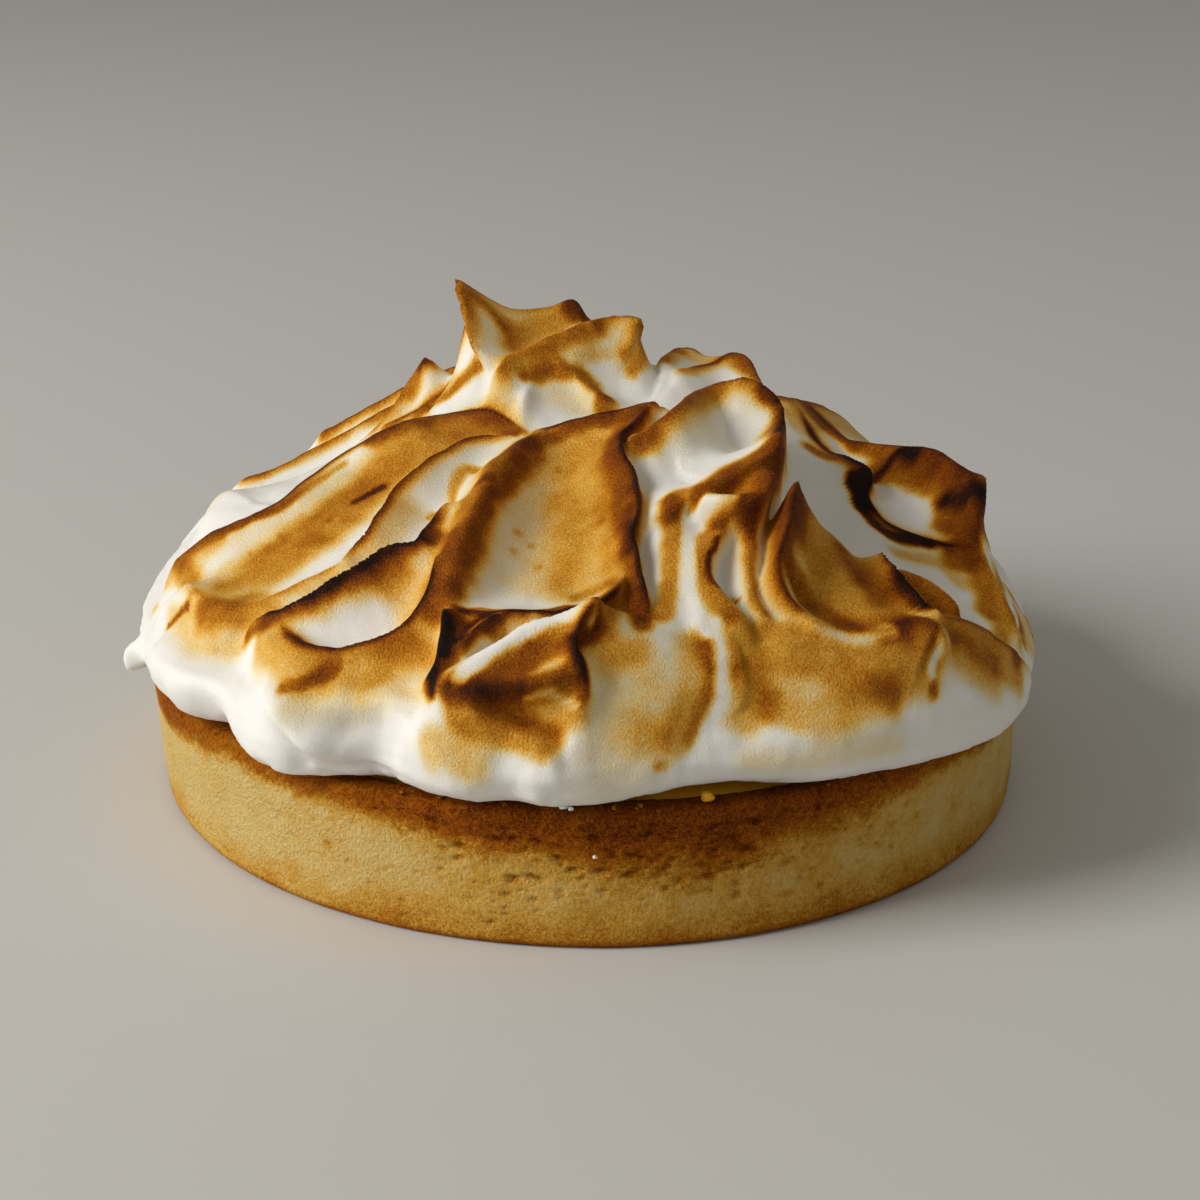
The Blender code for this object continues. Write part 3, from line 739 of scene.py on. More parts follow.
# ---- Meringue ----------------------------------------------------------------


@dataclass(frozen=True)
class EdgeWave:
    """A place where the lower edge steps out or in: degrees from the front, width, step."""

    azimuth: float
    width: float
    out: float


@dataclass(frozen=True)
class Mound:
    """A soft lump at skin coordinates, with its two reaches, turn, lift and steepness."""

    x: float
    y: float
    reach_x: float
    reach_y: float
    turn: float
    lift: float
    power: float


@dataclass(frozen=True)
class Fold:
    """A fold's crest and how the torch caught it.

    Attributes:
        name: What the fold is.
        path: Knots of the crest: skin x, skin y and lift.
        right: Reach of the flank to the right as the path runs.
        left: Reach of the other flank.
        softness: 0 for a knife-sharp crest, 1 for a rolled one.
        lean: How far the crest leans to its left.
        char: How burnt the crest is, from 0 to 1.
        burn: Width of the burnt line.
        side: How far the burnt line lies to the left of the crest.
    """

    name: str
    path: tuple
    right: float
    left: float
    softness: float
    lean: float
    char: float = 0.0
    burn: float = 1.0
    side: float = 0.0


@dataclass(frozen=True)
class Stroke:
    """A pass of the torch along skin coordinates, with its reach, strength and edge.

    A negative strength is a streak that stayed white.
    """

    path: tuple
    reach: float
    tone: float
    edge: float = 2.0


OUTLINE = (
    (0.0, 50.0),
    (20.0, 47.5),
    (35.0, 42.0),
    (48.0, 36.0),
    (57.0, 31.0),
    (62.0, 26.0),
    (63.5, 22.5),
    (62.0, 20.2),
    (59.5, 19.3),
)

EDGE_WAVES = (
    EdgeWave(-76, 10, -0.6),
    EdgeWave(-47.5, 4, -5),
    EdgeWave(-35, 6.5, 3.4),
    EdgeWave(-25, 8, -3),
    EdgeWave(-8, 3, -2),
    EdgeWave(14.5, 10.5, -6),
    EdgeWave(52, 12, 2.6),
    EdgeWave(88, 18, -4.6),
    EdgeWave(128, 14, 1.5),
    EdgeWave(160, 14, -1.5),
    EdgeWave(-160, 12, 1.5),
    EdgeWave(-120, 14, -1),
)

MOUNDS = (
    Mound(-2, 12, 20, 11, 0, 3, 2.5),
    Mound(-63, -6, 9, 18, 0, -2.4, 2.5),
    Mound(62, 0, 8, 20, 0, -2.6, 2.5),
    Mound(-42, 22, 14, 12, 0, -2, 2.5),
    Mound(10, -58, 10, 11, 0, 3, 2.5),
    Mound(36, -52, 22, 8, 20, 3.2, 2.5),
    Mound(-34, -58, 16, 7, -25, 1.6, 2.5),
    Mound(50, -4, 9, 14, -10, 0.6, 2.5),
    Mound(-32, -62.5, 9, 4.5, -27, -4.2, 2.5),
)

FOLDS = (
    Fold("left_rim", ((-8.5, -9, 0.5), (-13.5, -3, 2.25), (-18, -2, 2.75), (-22, -3, 3.5),
         (-25.5, -5, 4.25), (-34, -6, 3.25), (-42, -14, 3.25), (-50.5, -15.5, 3.75),
         (-58.5, -14.5, 3.75)), 2.5, 6, 0.15, -0.9, 0.76, 0.8),
    Fold("left_second", ((-10, -15, 3.5), (-15, -16, 4.5), (-20.5, -22, 5.75), (-24, -26, 5.5),
         (-26.5, -31.5, 5.25), (-31, -35, 3.5)), 1.8, 3.6, 0.1, -1, 0.84, 0.8),
    Fold("left_scoop_lip", ((-31, -35, 3.5), (-37.5, -36, 3), (-44, -37, 3), (-49, -33.5, 3),
         (-54, -27, 3.75)), 2.6, 3, 0.3, 0, 0.42, 1.2),
    Fold("left_third", ((-17, -31, 5.25), (-20.5, -37.5, 6), (-25, -38.5, 6.25), (-30.5, -41.5, 6),
         (-36, -43, 5.25), (-41, -42.5, 4.25), (-45, -41.5, 3)), 1.8, 4, 0.1, -1, 0.88),
    Fold("scoop_four_lip", ((-39, -44, 3), (-35.5, -48.5, 3.25), (-30, -52, 3.5), (-25, -52, 4.25),
         (-21.5, -50.5, 5), (-19, -47, 5.75), (-18, -41, 5.5)), 3.8, 2, 0.1, 0.9, 0.84, 0.8),
    Fold("left_lump", ((-44, -42, 3.25), (-40, -46, 3.5), (-36, -50, 3.25),
         (-33.5, -52.5, 2.25)), 3, 3.5, 0.5, 0),
    Fold("left_end_arc", ((-60, -23, 2.25), (-55, -26.5, 3), (-50.5, -32, 3.25),
         (-48, -37, 3)), 3, 3, 0.5, 0),
    Fold("left_back_lump", ((-55.5, 0, 3.5), (-53, 3, 3.75), (-49.5, 5, 1.75), (-45, 7.5, 0.5),
         (-39.5, 8.5, 0.5)), 6, 4, 0.5, 0, 0.12, 1.5),
    Fold("big_ridge", ((-6, -14.5, 4), (-10.5, -22, 6), (-13, -29, 7.25), (-15.5, -38, 7.25),
         (-17, -45.5, 6.25), (-18, -48.5, 5.25)), 3.2, 3, 0.6, 0.4, 0.5, 2.6),
    Fold("face_top", ((-7, -16, 4), (-3.5, -15, 5), (1, -14.5, 6), (6.5, -13.5, 7),
         (9, -13.5, 7)), 6, 2.5, 0.1, 0.5, 0.76, 0.8),
    Fold("face_right", ((7.5, -13, 7), (3, -20, 7), (3.5, -25, 7), (5, -33.5, 7), (4.5, -41, 6.5),
         (6, -48, 5), (7, -52, 1.5)), 4, 2, 0.15, 0.8, 0.84, 1.1),
    Fold("face_bottom", ((-17.5, -48.5, 5.25), (-13, -50, 5.5), (-7, -51.5, 6), (-3, -50, 5.75),
         (0.5, -50, 6), (3, -46, 5.5)), 1.8, 5, 0.1, -1.2, 0.93, 0.9),
    Fold("front_a_left", ((-17, -51, 7), (-17, -54, 6.75), (-17.5, -57.5, 6),
         (-19, -60, 4.75)), 1.6, 3.6, 0.2, -0.4, 0.9, 1.1),
    Fold("front_a_right", ((-6.5, -52, 6.25), (-10, -52, 6.75), (-13, -53.5, 6.75),
         (-15, -56, 6.25)), 3.6, 1.8, 0.25, 0.3, 0.78, 0.8),
    Fold("front_b_upper", ((-16.5, -60, 5.75), (-12.5, -58, 6.75), (-8, -56, 7.5), (-3.5, -54, 7.5),
         (0.5, -52.5, 7.25)), 5.5, 2.2, 0.3, 0.3),
    Fold("front_b_lower", ((-17, -60.5, 6.5), (-12.5, -61.5, 7.5), (-7, -61.5, 7.5),
         (-1.5, -60, 6.5)), 1.8, 5, 0.2, -0.3, 0.54),
    Fold("front_b_right", ((0.5, -53, 8.25), (-1.5, -56.5, 7.25), (-2, -58.5, 7.25), (-1, -60, 6.25),
         (-0.5, -62.5, 4.75)), 3.5, 1.6, 0.2, 0.4, 0.84, 0.9),
    Fold("skirt_lip", ((-30.5, -58, 3.25), (-23.5, -60, 3), (-16.5, -62.5, 3)), 2, 3.4, 0.4, 0),
    Fold("skirt_lobe", ((-39.5, -51.5, 2), (-37.5, -57, 4.25), (-35, -60.5, 6),
         (-33, -62.5, 4.75)), 1.3, 4, 0.45, 0),
    Fold("skirt_mid", ((-24, -61, 2.75), (-20.5, -65, 3.25), (-14.5, -68, 3),
         (-7, -70, 2.75)), 3, 2.4, 0.5, 0),
    Fold("left_end_lobe", ((-61, -31.5, 2), (-55.5, -41, 3), (-49.5, -48, 2.75),
         (-45.5, -50.5, 1.5)), 2.2, 3, 0.6, 0),
    Fold("nub", ((-69, -19, 1.5), (-71, -20, 8)), 1.1, 1.1, 0.2, 0),
    Fold("right_skirt", ((16.5, -66.5, 1), (25, -64, 2.25), (35.5, -58.5, 1.5), (45.5, -51, 0.5),
         (54, -42.5, 0.75)), 2.2, 2.6, 0.5, 0),
    Fold("right_skirt_low", ((13, -69, 0.5), (22, -67, 1.5), (33.5, -62, 1.5),
         (45.5, -54.5, 0.5)), 1.6, 1.8, 0.6, 0),
    Fold("front_below", ((-16.5, -60, 4.5), (-13.5, -63.5, 4.25), (-8.5, -66.5, 3.75),
         (-5, -68, 3)), 4, 3, 0.3, 0),
    Fold("lobe_left_crease", ((1.5, -54.5, 2.75), (-0.5, -61, 2.75), (-1.5, -66, 2.5),
         (-2.5, -71, 1)), 3, 3.5, 0.5, 0),
    Fold("lobe_right", ((12.5, -47.5, 3.25), (15.5, -55, 1.5), (15, -61, 0.5),
         (12.5, -65.5, 0.5)), 2.2, 6, 0.4, 0),
    Fold("front_brow", ((17, -53.5, 2), (19, -59, 1), (18, -63, 0.75)), 5, 1.6, 0.2, 0.5),
    Fold("tongue_top", ((5.5, -21.5, 7), (8, -20.5, 8.5), (11, -17.5, 10), (15, -7.5, 8.25),
         (18, -7.5, 10.25), (20.5, -9, 10.25), (22, -11, 9.25)), 5.5, 2.2, 0.3, 0.9, 0.6, 1.8),
    Fold("tongue_low", ((8, -35.5, 6), (10.5, -32.5, 8.25), (13, -32, 10.25), (16, -30.5, 12),
         (18.5, -28.5, 13.25), (20, -27, 13.5)), 2.6, 6, 0.6, -1.2),
    Fold("tongue_end", ((20, -26, 13.25), (23.5, -11.5, 7.5)), 2.2, 3, 0.3, 0, 0.8, 1.2),
    Fold("bulge", ((14, -34.5, 10), (16.5, -35.5, 11.5), (19, -35, 12.25),
         (20, -31.5, 13)), 1.4, 4, 0.45, -0.7),
    Fold("pear_left", ((18, -35, 7.25), (16, -36.5, 7), (14, -40, 6.75), (13.5, -44, 6),
         (15, -47, 5.25), (18, -50, 4.25)), 3, 2, 0.7, 0.5, 0.4, 1.2),
    Fold("white_band", ((14.5, -30, 5.75), (12.5, -33.5, 5.5), (12, -39, 5.25), (12, -43.5, 4.5),
         (13, -48, 3.25)), 2.4, 2.4, 1, 0),
    Fold("pear_right", ((18.5, -35, 7), (19, -38, 6.75), (19, -41.5, 6.25), (19.5, -45.5, 5.5),
         (21.5, -49, 4)), 1.9, 2.4, 0.6, 0.2, 0.42, 0.8),
    Fold("face_column", ((9.5, -33, 6.75), (10, -39, 6), (10, -45, 4.75),
         (9, -50.5, 2.5)), 3.2, 2.8, 1, 0, 0.2, 1.4),
    Fold("horn", ((24, -33.5, 13.5), (23.5, -37, 12.5), (23, -41, 11), (22.5, -43.5, 9.5),
         (24, -46.5, 7), (27, -48.5, 4.5)), 2, 4.5, 0.2, -0.6, 0.76, 1.3),
    Fold("horn_face", ((28.5, -34.5, 6.5), (31.5, -39.5, 6), (36, -43, 4.5)), 5, 5, 1, 0),
    Fold("right_shelf", ((24.5, -49, 3.75), (29.5, -48.5, 3), (35.5, -47.5, 3), (38.5, -45.5, 4.5),
         (41, -44, 5.25), (43, -45, 4.25), (43.5, -47, 1.75)), 4.5, 2.6, 0.3, 0, 0.44),
    Fold("right_facet", ((42, -42, 5.5), (46, -40, 5.25), (52.5, -37, 4),
         (59, -34.5, 2.25)), 5, 2.2, 0.15, 0, 0.58, 1.2),
    Fold("lobe_back", ((29, 12, 1.25), (33, 10, 2.75), (37.5, 7, 3.75), (42, 3, 6), (46, -1, 8.5),
         (49, -5, 9.25), (51.5, -9, 9), (53, -12, 6.75)), 2.6, 7, 0.25, -2.2, 0.72, 1.2),
    Fold("lobe_inner", ((29, 7, 1.5), (32, 2, 1.5), (34.5, -2, 3), (37, -6, 3.75), (37.5, -10, 1.75),
         (39.5, -13.5, 0.5), (43, -15.5, 0.5), (47.5, -15.5, 1),
         (52.5, -15.5, 2)), 3.2, 2, 0.12, 0.7, 0.96, 1.4),
    Fold("lobe_wall", ((52, -7, 8.75), (53.5, -11, 5.75),
         (53, -15.5, 2.75)), 3, 2.2, 0.3, 0.6, 0.65, 2),
    Fold("black_edge", ((36, -34, 6.75), (37, -37.5, 7.5), (39, -40.5, 6.75),
         (42, -41.5, 5.25)), 3, 1.5, 0.15, 0.6, 0.85, 0.5),
    Fold("leaf", ((39, -36, 6.75), (42.5, -36, 6.25), (45.5, -37.5, 5.5),
         (45, -39, 4.5)), 2.2, 2.2, 0.4, 0, 0.4, 1.2),
    Fold("side_fall", ((54, -15.5, 3.75), (56, -21.5, 3.25), (58, -26.5, 2.5),
         (60, -31.5, 1.5)), 2.4, 2.4, 0.3, 0, 0.4),
    Fold("curl", ((-28.5, 4, 2.5), (-22.5, 5, 2.5), (-18.5, 6, 2.75), (-15.5, 6.5, 5),
         (-14.5, 6.5, 8.25), (-14.5, 6.5, 11)), 2.4, 3.2, 0.2, 0.4, 0.66, 0.9),
    Fold("curl_tip", ((-12, 4, 9.5), (-13, 7.5, 16.75),
         (-12, 11, 11.5)), 4.4, 2.2, 0.12, 3.6, 0.5, 1.2),
    Fold("cap_edge", ((-15, 7, 12), (-12, 8.5, 11.75), (-8.5, 10, 10.75), (-5.5, 11, 10.5),
         (-2.5, 12, 11.25), (-0.5, 12.5, 8.5)), 4.5, 3, 0.25, 0, 0.5, 1.4),
    Fold("cap_band", ((-11.5, 1, 7), (-8.5, 3.5, 7.25), (-4, 6, 8), (0.5, 9, 8.75), (3.5, 10, 9.25),
         (5, 9.5, 8.5)), 3, 2.2, 0.3, 0.3, 0.4, 1.3),
    Fold("cap_lobe", ((5, 10, 8.25), (4.5, 8.5, 5.75), (3, 6.5, 2.75)), 3.4, 1.1, 0.25, 2.6, 0.5, 1.1),
    Fold("small_peak", ((-32, 5, 2), (-27.5, 7, 3.5), (-24.5, 8.5, 6),
         (-21.5, 9, 8.25)), 3, 3, 0.2, 0, 0.5, 1.5),
    Fold("cream_block", ((-9.5, -6, 1.25), (-9, -3, 3.5), (-7.5, 1, 4)), 2, 3, 0.2, 0),
    Fold("arch", ((-8.5, 3, 3.5), (-6, 4, 4.5), (-3.5, 3.5, 4.5), (-0.5, 2, 3.25),
         (2, 0, 2.5)), 2.2, 2.2, 0.15, -0.8, 0.52, 0.7),
    Fold("white_twist", ((-2, 5, 5), (0.5, 7, 4.75), (3.5, 7.5, 3.75),
         (5.5, 7.5, 2.25)), 2.2, 2.5, 0.25, 0, 0.12),
    Fold("back_lump", ((4, 8, 0.5), (7, 9.5, 1), (10.5, 8, 1.5),
         (13.5, 4, 1.75)), 2.5, 2.5, 0.4, 0, 0.05),
    Fold("back_knob", ((5.5, 13.5, 1), (10, 15.5, 2.25), (14.5, 17, 4.5), (17.5, 16.5, 7),
         (20, 14.5, 8), (21.5, 11, 6.5)), 3.5, 3, 0.4, 0, 0.35),
)

STROKES = (
    Stroke(((-14, -5.5), (-21, -8.5), (-29, -13.5), (-35.5, -21), (-42.5, -25.5),
            (-47, -30)), 5, 0.33, 2.6),
    Stroke(((-29.5, -15), (-35, -20.5), (-40.5, -24), (-48.5, -25.5)), 4.2, 0.17, 2.4),
    Stroke(((-51.5, -20.5), (-44.5, -19), (-35, -15), (-26, -11), (-18, -6.5)), 4.2, 0.17, 3),
    Stroke(((-23.5, -27.5), (-26.5, -33), (-32, -35.5), (-38.5, -36), (-45.5, -34)), 2.2, 0.24, 1.6),
    Stroke(((-20, -6.5), (-15, -5.5), (-12, -7.5)), 2, 0.14, 1.5),
    Stroke(((-33, -11), (-41, -18.5), (-47.5, -20.5)), 1.2, -0.35, 1.6),
    Stroke(((-49.5, -21), (-53, -22), (-51.5, -30)), 1.2, -0.6, 1.2),
    Stroke(((-10.5, -8), (-14, -4.5), (-17.5, -2.5), (-25.5, -5.5), (-34, -5), (-41.5, -14.5),
            (-50.5, -16), (-58, -15.5)), 1.2, 0.44, 1),
    Stroke(((-33.5, -8), (-41.5, -15.5), (-50, -17)), 0.6, 0.35, 0.5),
    Stroke(((-31.5, -17), (-30, -16), (-28, -15.5)), 0.7, 0.84, 0.35),
    Stroke(((-21, -28), (-20.5, -27.5)), 0.4, 0.45, 0.4),
    Stroke(((-19, -36), (-23, -38.5), (-27.5, -40.5), (-33, -43), (-39, -43.5),
            (-46, -42)), 1, 0.56, 0.8),
    Stroke(((-19.5, -37), (-23, -38.5), (-27, -40), (-31.5, -42.5), (-35.5, -43.5)), 0.5, 0.84, 0.4),
    Stroke(((-23.5, -39.5), (-29.5, -41.5), (-35.5, -43), (-45, -38), (-50.5, -34)), 2, 0.36, 1.4),
    Stroke(((-56, -28), (-52, -36), (-48, -40.5)), 3, 0.25, 1.8),
    Stroke(((-57, -18.5), (-51.5, -28.5)), 1.8, 0.42, 1.2),
    Stroke(((-51.5, -16), (-56.5, -15.5), (-60, -16), (-63.5, -16)), 2.4, 0.33, 1.6),
    Stroke(((-70, -6.5), (-63.5, -16), (-54, -28.5)), 0.9, -0.9, 0.8),
    Stroke(((-58.5, -28.5), (-56, -29), (-53.5, -30.5)), 0.45, 0.6, 0.35),
    Stroke(((-24.5, -41), (-22, -44), (-22.5, -51), (-25, -52)), 2.6, 0.28, 1.8),
    Stroke(((-32, -53.5), (-27.5, -54.5), (-22, -53.5), (-17.5, -54.5)), 2.6, 0.36, 1.8),
    Stroke(((-19, -48), (-18.5, -44), (-18, -38)), 2, 0.42, 1.5),
    Stroke(((-41, -45.5), (-37, -49.5), (-35, -52)), 2.6, 0.34, 1.6),
    Stroke(((-37, -53), (-34, -53.5), (-32, -53.5)), 0.8, 0.5, 0.6),
    Stroke(((-35, -56), (-30, -58)), 2.2, 0.16, 1.8),
    Stroke(((-26.5, -58), (-19, -59)), 2.4, 0.2, 1.8),
    Stroke(((-8, -19.5), (-11, -25), (-13.5, -31), (-15.5, -38.5), (-16.5, -44.5),
            (-18, -48.5)), 2.5, 0.42, 1.2),
    Stroke(((-8, -18), (-12, -22), (-15.5, -20.5), (-17.5, -25), (-18.5, -35),
            (-21.5, -38.5)), 0.8, 0.42, 0.6),
    Stroke(((-9, -22), (-11.5, -30), (-13.5, -36), (-15, -40.5), (-16, -47.5)), 0.9, 0.32, 0.8),
    Stroke(((-13.5, -28), (-13, -27.5)), 0.8, 0.4, 0.6),
    Stroke(((1, -17), (-0.5, -26), (0, -36.5), (-0.5, -44)), 4.8, 0.27, 2.8),
    Stroke(((-2, -28.5), (-2.5, -36), (-4, -44)), 3.4, 0.1, 2.6),
    Stroke(((-3.5, -18.5), (-4.5, -27.5), (-4, -35.5), (-5, -42)), 4, 0.12, 3),
    Stroke(((2, -19.5), (2.5, -31), (3.5, -43)), 2.2, 0.22, 1.6),
    Stroke(((-5.5, -18), (-8.5, -28.5), (-10, -40.5)), 4.2, 0.14, 3),
    Stroke(((-8.5, -19), (-3, -15.5), (1.5, -15), (5.5, -14.5)), 1, 0.42, 0.7),
    Stroke(((-1.5, -47), (1.5, -46)), 1.2, 0.3, 0.8),
    Stroke(((6, -15), (3.5, -17.5), (2.5, -24), (3.5, -31), (4.5, -40.5), (5, -46.5),
            (6.5, -53.5)), 1.3, 0.48, 0.8),
    Stroke(((4, -33.5), (4, -41.5)), 0.6, 0.5, 0.4),
    Stroke(((-16, -51), (-16, -55.5), (-17.5, -58.5), (-18.5, -60.5)), 1.2, 0.62, 0.6),
    Stroke(((-15.5, -52.5), (-13, -52), (-11, -52.5)), 1.5, 0.46, 0.8),
    Stroke(((-2, -58), (-5.5, -58), (-9.5, -60), (-13, -61)), 1.5, 0.42, 0.9),
    Stroke(((-16.5, -51), (-12.5, -48.5), (-7.5, -52)), 0.4, 0.45, 0.35),
    Stroke(((-10, -52), (-13, -53.5), (-15, -56)), 0.5, 0.55, 0.4),
    Stroke(((-18, -59), (-18.5, -60.5)), 0.7, 0.9, 0.4),
    Stroke(((-16.5, -51.5), (-16.5, -54.5), (-17, -56.5)), 0.9, 0.88, 0.5),
    Stroke(((-15.5, -54.5), (-13.5, -51), (-11.5, -52)), 0.7, 0.84, 0.5),
    Stroke(((0, -54), (0.5, -54.5)), 0.8, 0.9, 0.5),
    Stroke(((-2, -56.5), (-1.5, -60)), 0.5, 0.85, 0.4),
    Stroke(((-16, -61), (-12, -62), (-8, -62)), 0.6, 0.62, 0.5),
    Stroke(((-7, -51.5), (-3.5, -49), (0.5, -53)), 0.45, 0.62, 0.35),
    Stroke(((0, -55), (-4, -56.5), (-8, -58.5), (-11.5, -60), (-14.5, -60.5)), 1.9, 0.42, 0.9),
    Stroke(((0, -54), (-3, -54), (-7.5, -56), (-11, -57.5), (-14.5, -60)), 0.9, -0.97, 0.5),
    Stroke(((0.5, -54), (0, -55.5), (-2, -58), (-1, -60.5), (-1, -62)), 0.7, 0.62, 0.5),
    Stroke(((-16, -61), (-11, -62), (-6.5, -61.5), (-1.5, -60.5)), 1.2, 0.54, 0.8),
    Stroke(((-14.5, -62.5), (-10.5, -65), (-5, -66.5)), 2.4, 0.44, 1),
    Stroke(((-10.5, -63), (-5, -63.5), (-2, -63)), 2, 0.36, 1.2),
    Stroke(((-7.5, -62.5), (-4.5, -62), (-1.5, -63)), 0.15, -0.6, 0.25),
    Stroke(((1.5, -54), (4, -48.5), (6, -51.5)), 2.2, 0.46, 1.3),
    Stroke(((1.5, -57.5), (5.5, -57)), 2, 0.3, 1.5),
    Stroke(((6.5, -57), (6.5, -62.5), (4, -67)), 7, 0.08, 4),
    Stroke(((13.5, -54.5), (14, -59.5), (13.5, -63), (11.5, -66)), 2.6, 0.3, 1.6),
    Stroke(((9, -60.5), (10, -62.5)), 3, 0.12, 2.4),
    Stroke(((4.5, -61.5), (4.5, -64.5)), 5, 0.12, 3),
    Stroke(((5, -65), (8.5, -66.5)), 2, 0.2, 1.4),
    Stroke(((9, -69), (10.5, -69)), 0.5, 0.35, 0.4),
    Stroke(((5.5, -22.5), (8.5, -21), (12.5, -16.5), (16, -7.5), (18, -8), (20, -9.5)), 1.4, 0.42, 1),
    Stroke(((6, -22.5), (8, -22.5)), 1.2, 0.36, 0.8),
    Stroke(((19.5, -27.5), (18, -28.5), (15.5, -29.5), (13.5, -32.5), (10.5, -32.5),
            (8.5, -36)), 1.5, 0.44, 1),
    Stroke(((14.5, -33), (16.5, -31.5), (18.5, -31), (19.5, -28.5)), 2.6, 0.52, 1.2),
    Stroke(((23, -14), (20.5, -26.5), (20.5, -28)), 1.6, 0.56, 1.2),
    Stroke(((15.5, -35.5), (17, -35.5), (18.5, -34.5), (19.5, -32.5)), 1.5, 0.62, 1.2),
    Stroke(((20.5, -9.5), (22, -11.5), (23, -14)), 1.3, 0.7, 0.7),
    Stroke(((19.5, 14.5), (21.5, 11)), 1.4, 0.62, 0.8),
    Stroke(((13.5, 15.5), (17, 15.5)), 1.2, 0.26, 1),
    Stroke(((9, -34), (10, -39.5), (9.5, -45.5), (9, -50.5)), 1.5, 0.42, 0.8),
    Stroke(((7, -37.5), (7.5, -42), (8, -44.5)), 0.7, -0.8, 0.6),
    Stroke(((18, -36.5), (16, -36.5), (13.5, -39.5), (13.5, -43.5), (14.5, -47.5),
            (17, -50.5)), 1.4, 0.44, 0.7),
    Stroke(((16, -35.5), (13.5, -35), (12, -37.5), (11.5, -43.5), (12.5, -48.5),
            (14.5, -53.5)), 0.7, -0.92, 0.5),
    Stroke(((15, -38.5), (14, -42.5), (14.5, -46), (18, -46.5)), 0.35, 0.72, 0.3),
    Stroke(((17, -37.5), (17, -40), (18, -45)), 0.9, -0.9, 0.6),
    Stroke(((17.5, -40), (18, -42.5)), 0.5, 0.36, 0.5),
    Stroke(((18, -36.5), (19, -39), (19, -43), (20, -46.5), (21.5, -48.5)), 0.9, 0.44, 0.7),
    Stroke(((22, -33.5), (22, -42.5)), 1.4, 0.22, 1.2),
    Stroke(((24.5, -33.5), (24, -37), (23.5, -41.5), (25.5, -43), (28.5, -45.5),
            (32, -48)), 1.5, 0.56, 0.9),
    Stroke(((24.5, -33.5), (25.5, -36)), 0.7, 0.4, 0.5),
    Stroke(((26.5, -34.5), (29, -37), (32, -41), (35.5, -43.5)), 5, 0.44, 1.8),
    Stroke(((33, -35), (36.5, -40)), 3, 0.36, 1.6),
    Stroke(((36, -34), (37, -37.5), (39, -40.5), (41, -41.5)), 0.7, 0.85, 0.4),
    Stroke(((39.5, -36.5), (43, -37), (45.5, -37.5)), 1.6, 0.5, 0.8),
    Stroke(((31, 9.5), (37.5, 6.5), (43, 1), (47.5, -3), (50.5, -7), (53, -9.5),
            (56, -12)), 1.6, 0.56, 1),
    Stroke(((30.5, -1), (34, -2.5), (36.5, -6)), 1.5, 0.56, 0.9),
    Stroke(((37, -6.5), (37, -10), (38.5, -14), (41.5, -17.5), (47, -16.5)), 1.1, 0.85, 0.6),
    Stroke(((36, -6.5), (36.5, -9.5), (37.5, -13)), 1.3, 0.96, 0.5),
    Stroke(((37, -6), (42, 0.5), (44.5, -1)), 0.8, 0.88, 0.5),
    Stroke(((32, 10.5), (34.5, 9.5), (38.5, 5.5)), 1, 0.5, 0.8),
    Stroke(((40.5, -0.5), (44, -1.5), (48, -5.5), (51, -9.5)), 2.4, 0.56, 1.4),
    Stroke(((41.5, -8), (45, -9.5), (43.5, -13.5)), 2.2, -0.9, 1),
    Stroke(((48.5, -8.5), (50.5, -9.5), (52.5, -9.5)), 1.3, 0.85, 0.7),
    Stroke(((49.5, -11), (52, -13.5), (51.5, -17)), 2.8, 0.62, 1.5),
    Stroke(((53.5, -18.5), (54.5, -23.5), (54.5, -27.5)), 1.5, 0.5, 1),
    Stroke(((59, -16), (57.5, -25.5), (55.5, -36)), 1.6, 0.44, 1.2),
    Stroke(((62, -2), (66, -13), (65.5, -24)), 2.2, 0.24),
    Stroke(((61.5, -5), (63.5, -15), (63, -26)), 0.8, 0.52, 0.8),
    Stroke(((66, -1), (68.5, -10), (68, -19)), 0.7, 0.42, 0.7),
    Stroke(((42.5, -21.5), (48.5, -19.5), (51.5, -22.5)), 1.6, 0.3, 1.2),
    Stroke(((17.5, -54.5), (23.5, -53), (29.5, -52), (35.5, -51), (40, -48)), 4.2, 0.44),
    Stroke(((19, -59), (21.5, -60), (20, -62)), 2.8, 0.34, 1.6),
    Stroke(((23.5, -60), (29, -59.5), (33.5, -56.5), (36.5, -54.5)), 2.4, 0.34, 1.4),
    Stroke(((26.5, -48.5), (30, -49.5), (33.5, -49), (36.5, -47)), 0.7, -0.7, 0.6),
    Stroke(((35.5, -48), (37.5, -46.5), (40, -44.5), (42, -45.5), (42.5, -47.5)), 1, 0.5, 0.8),
    Stroke(((43, -45), (42, -49)), 0.7, -0.9, 0.6),
    Stroke(((44.5, -42), (50.5, -40), (55.5, -38)), 3, 0.4, 1.4),
    Stroke(((46, -44.5), (51, -43)), 2.6, 0.34, 1.6),
    Stroke(((21, -67), (28, -64.5), (36, -60), (40, -57.5)), 1.1, 0.14, 1),
    Stroke(((15, -51.5), (16, -56), (16.5, -60), (16, -64), (14.5, -67), (11, -69.5)), 0.7, -0.95, 0.8),
    Stroke(((14.5, -54.5), (15, -59.5), (14.5, -63), (13.5, -66)), 1.1, 0.3, 0.9),
    Stroke(((-19, -65.5), (-16, -66.5), (-14, -68)), 2, 0.28, 1.3),
    Stroke(((-11.5, 6), (-11.5, 4.5), (-12.5, 3.5), (-16, 3), (-19, 2.5), (-24, 4),
            (-26, -5.5)), 0.7, 0.5, 0.5),
    Stroke(((-12.5, 7.5), (-12, 7), (-11, 6.5)), 1.3, 0.46, 0.9),
    Stroke(((-10.5, 6), (-9.5, 6.5), (-7, 8.5), (-4, 10), (-1.5, 11.5)), 1.3, 0.42, 1),
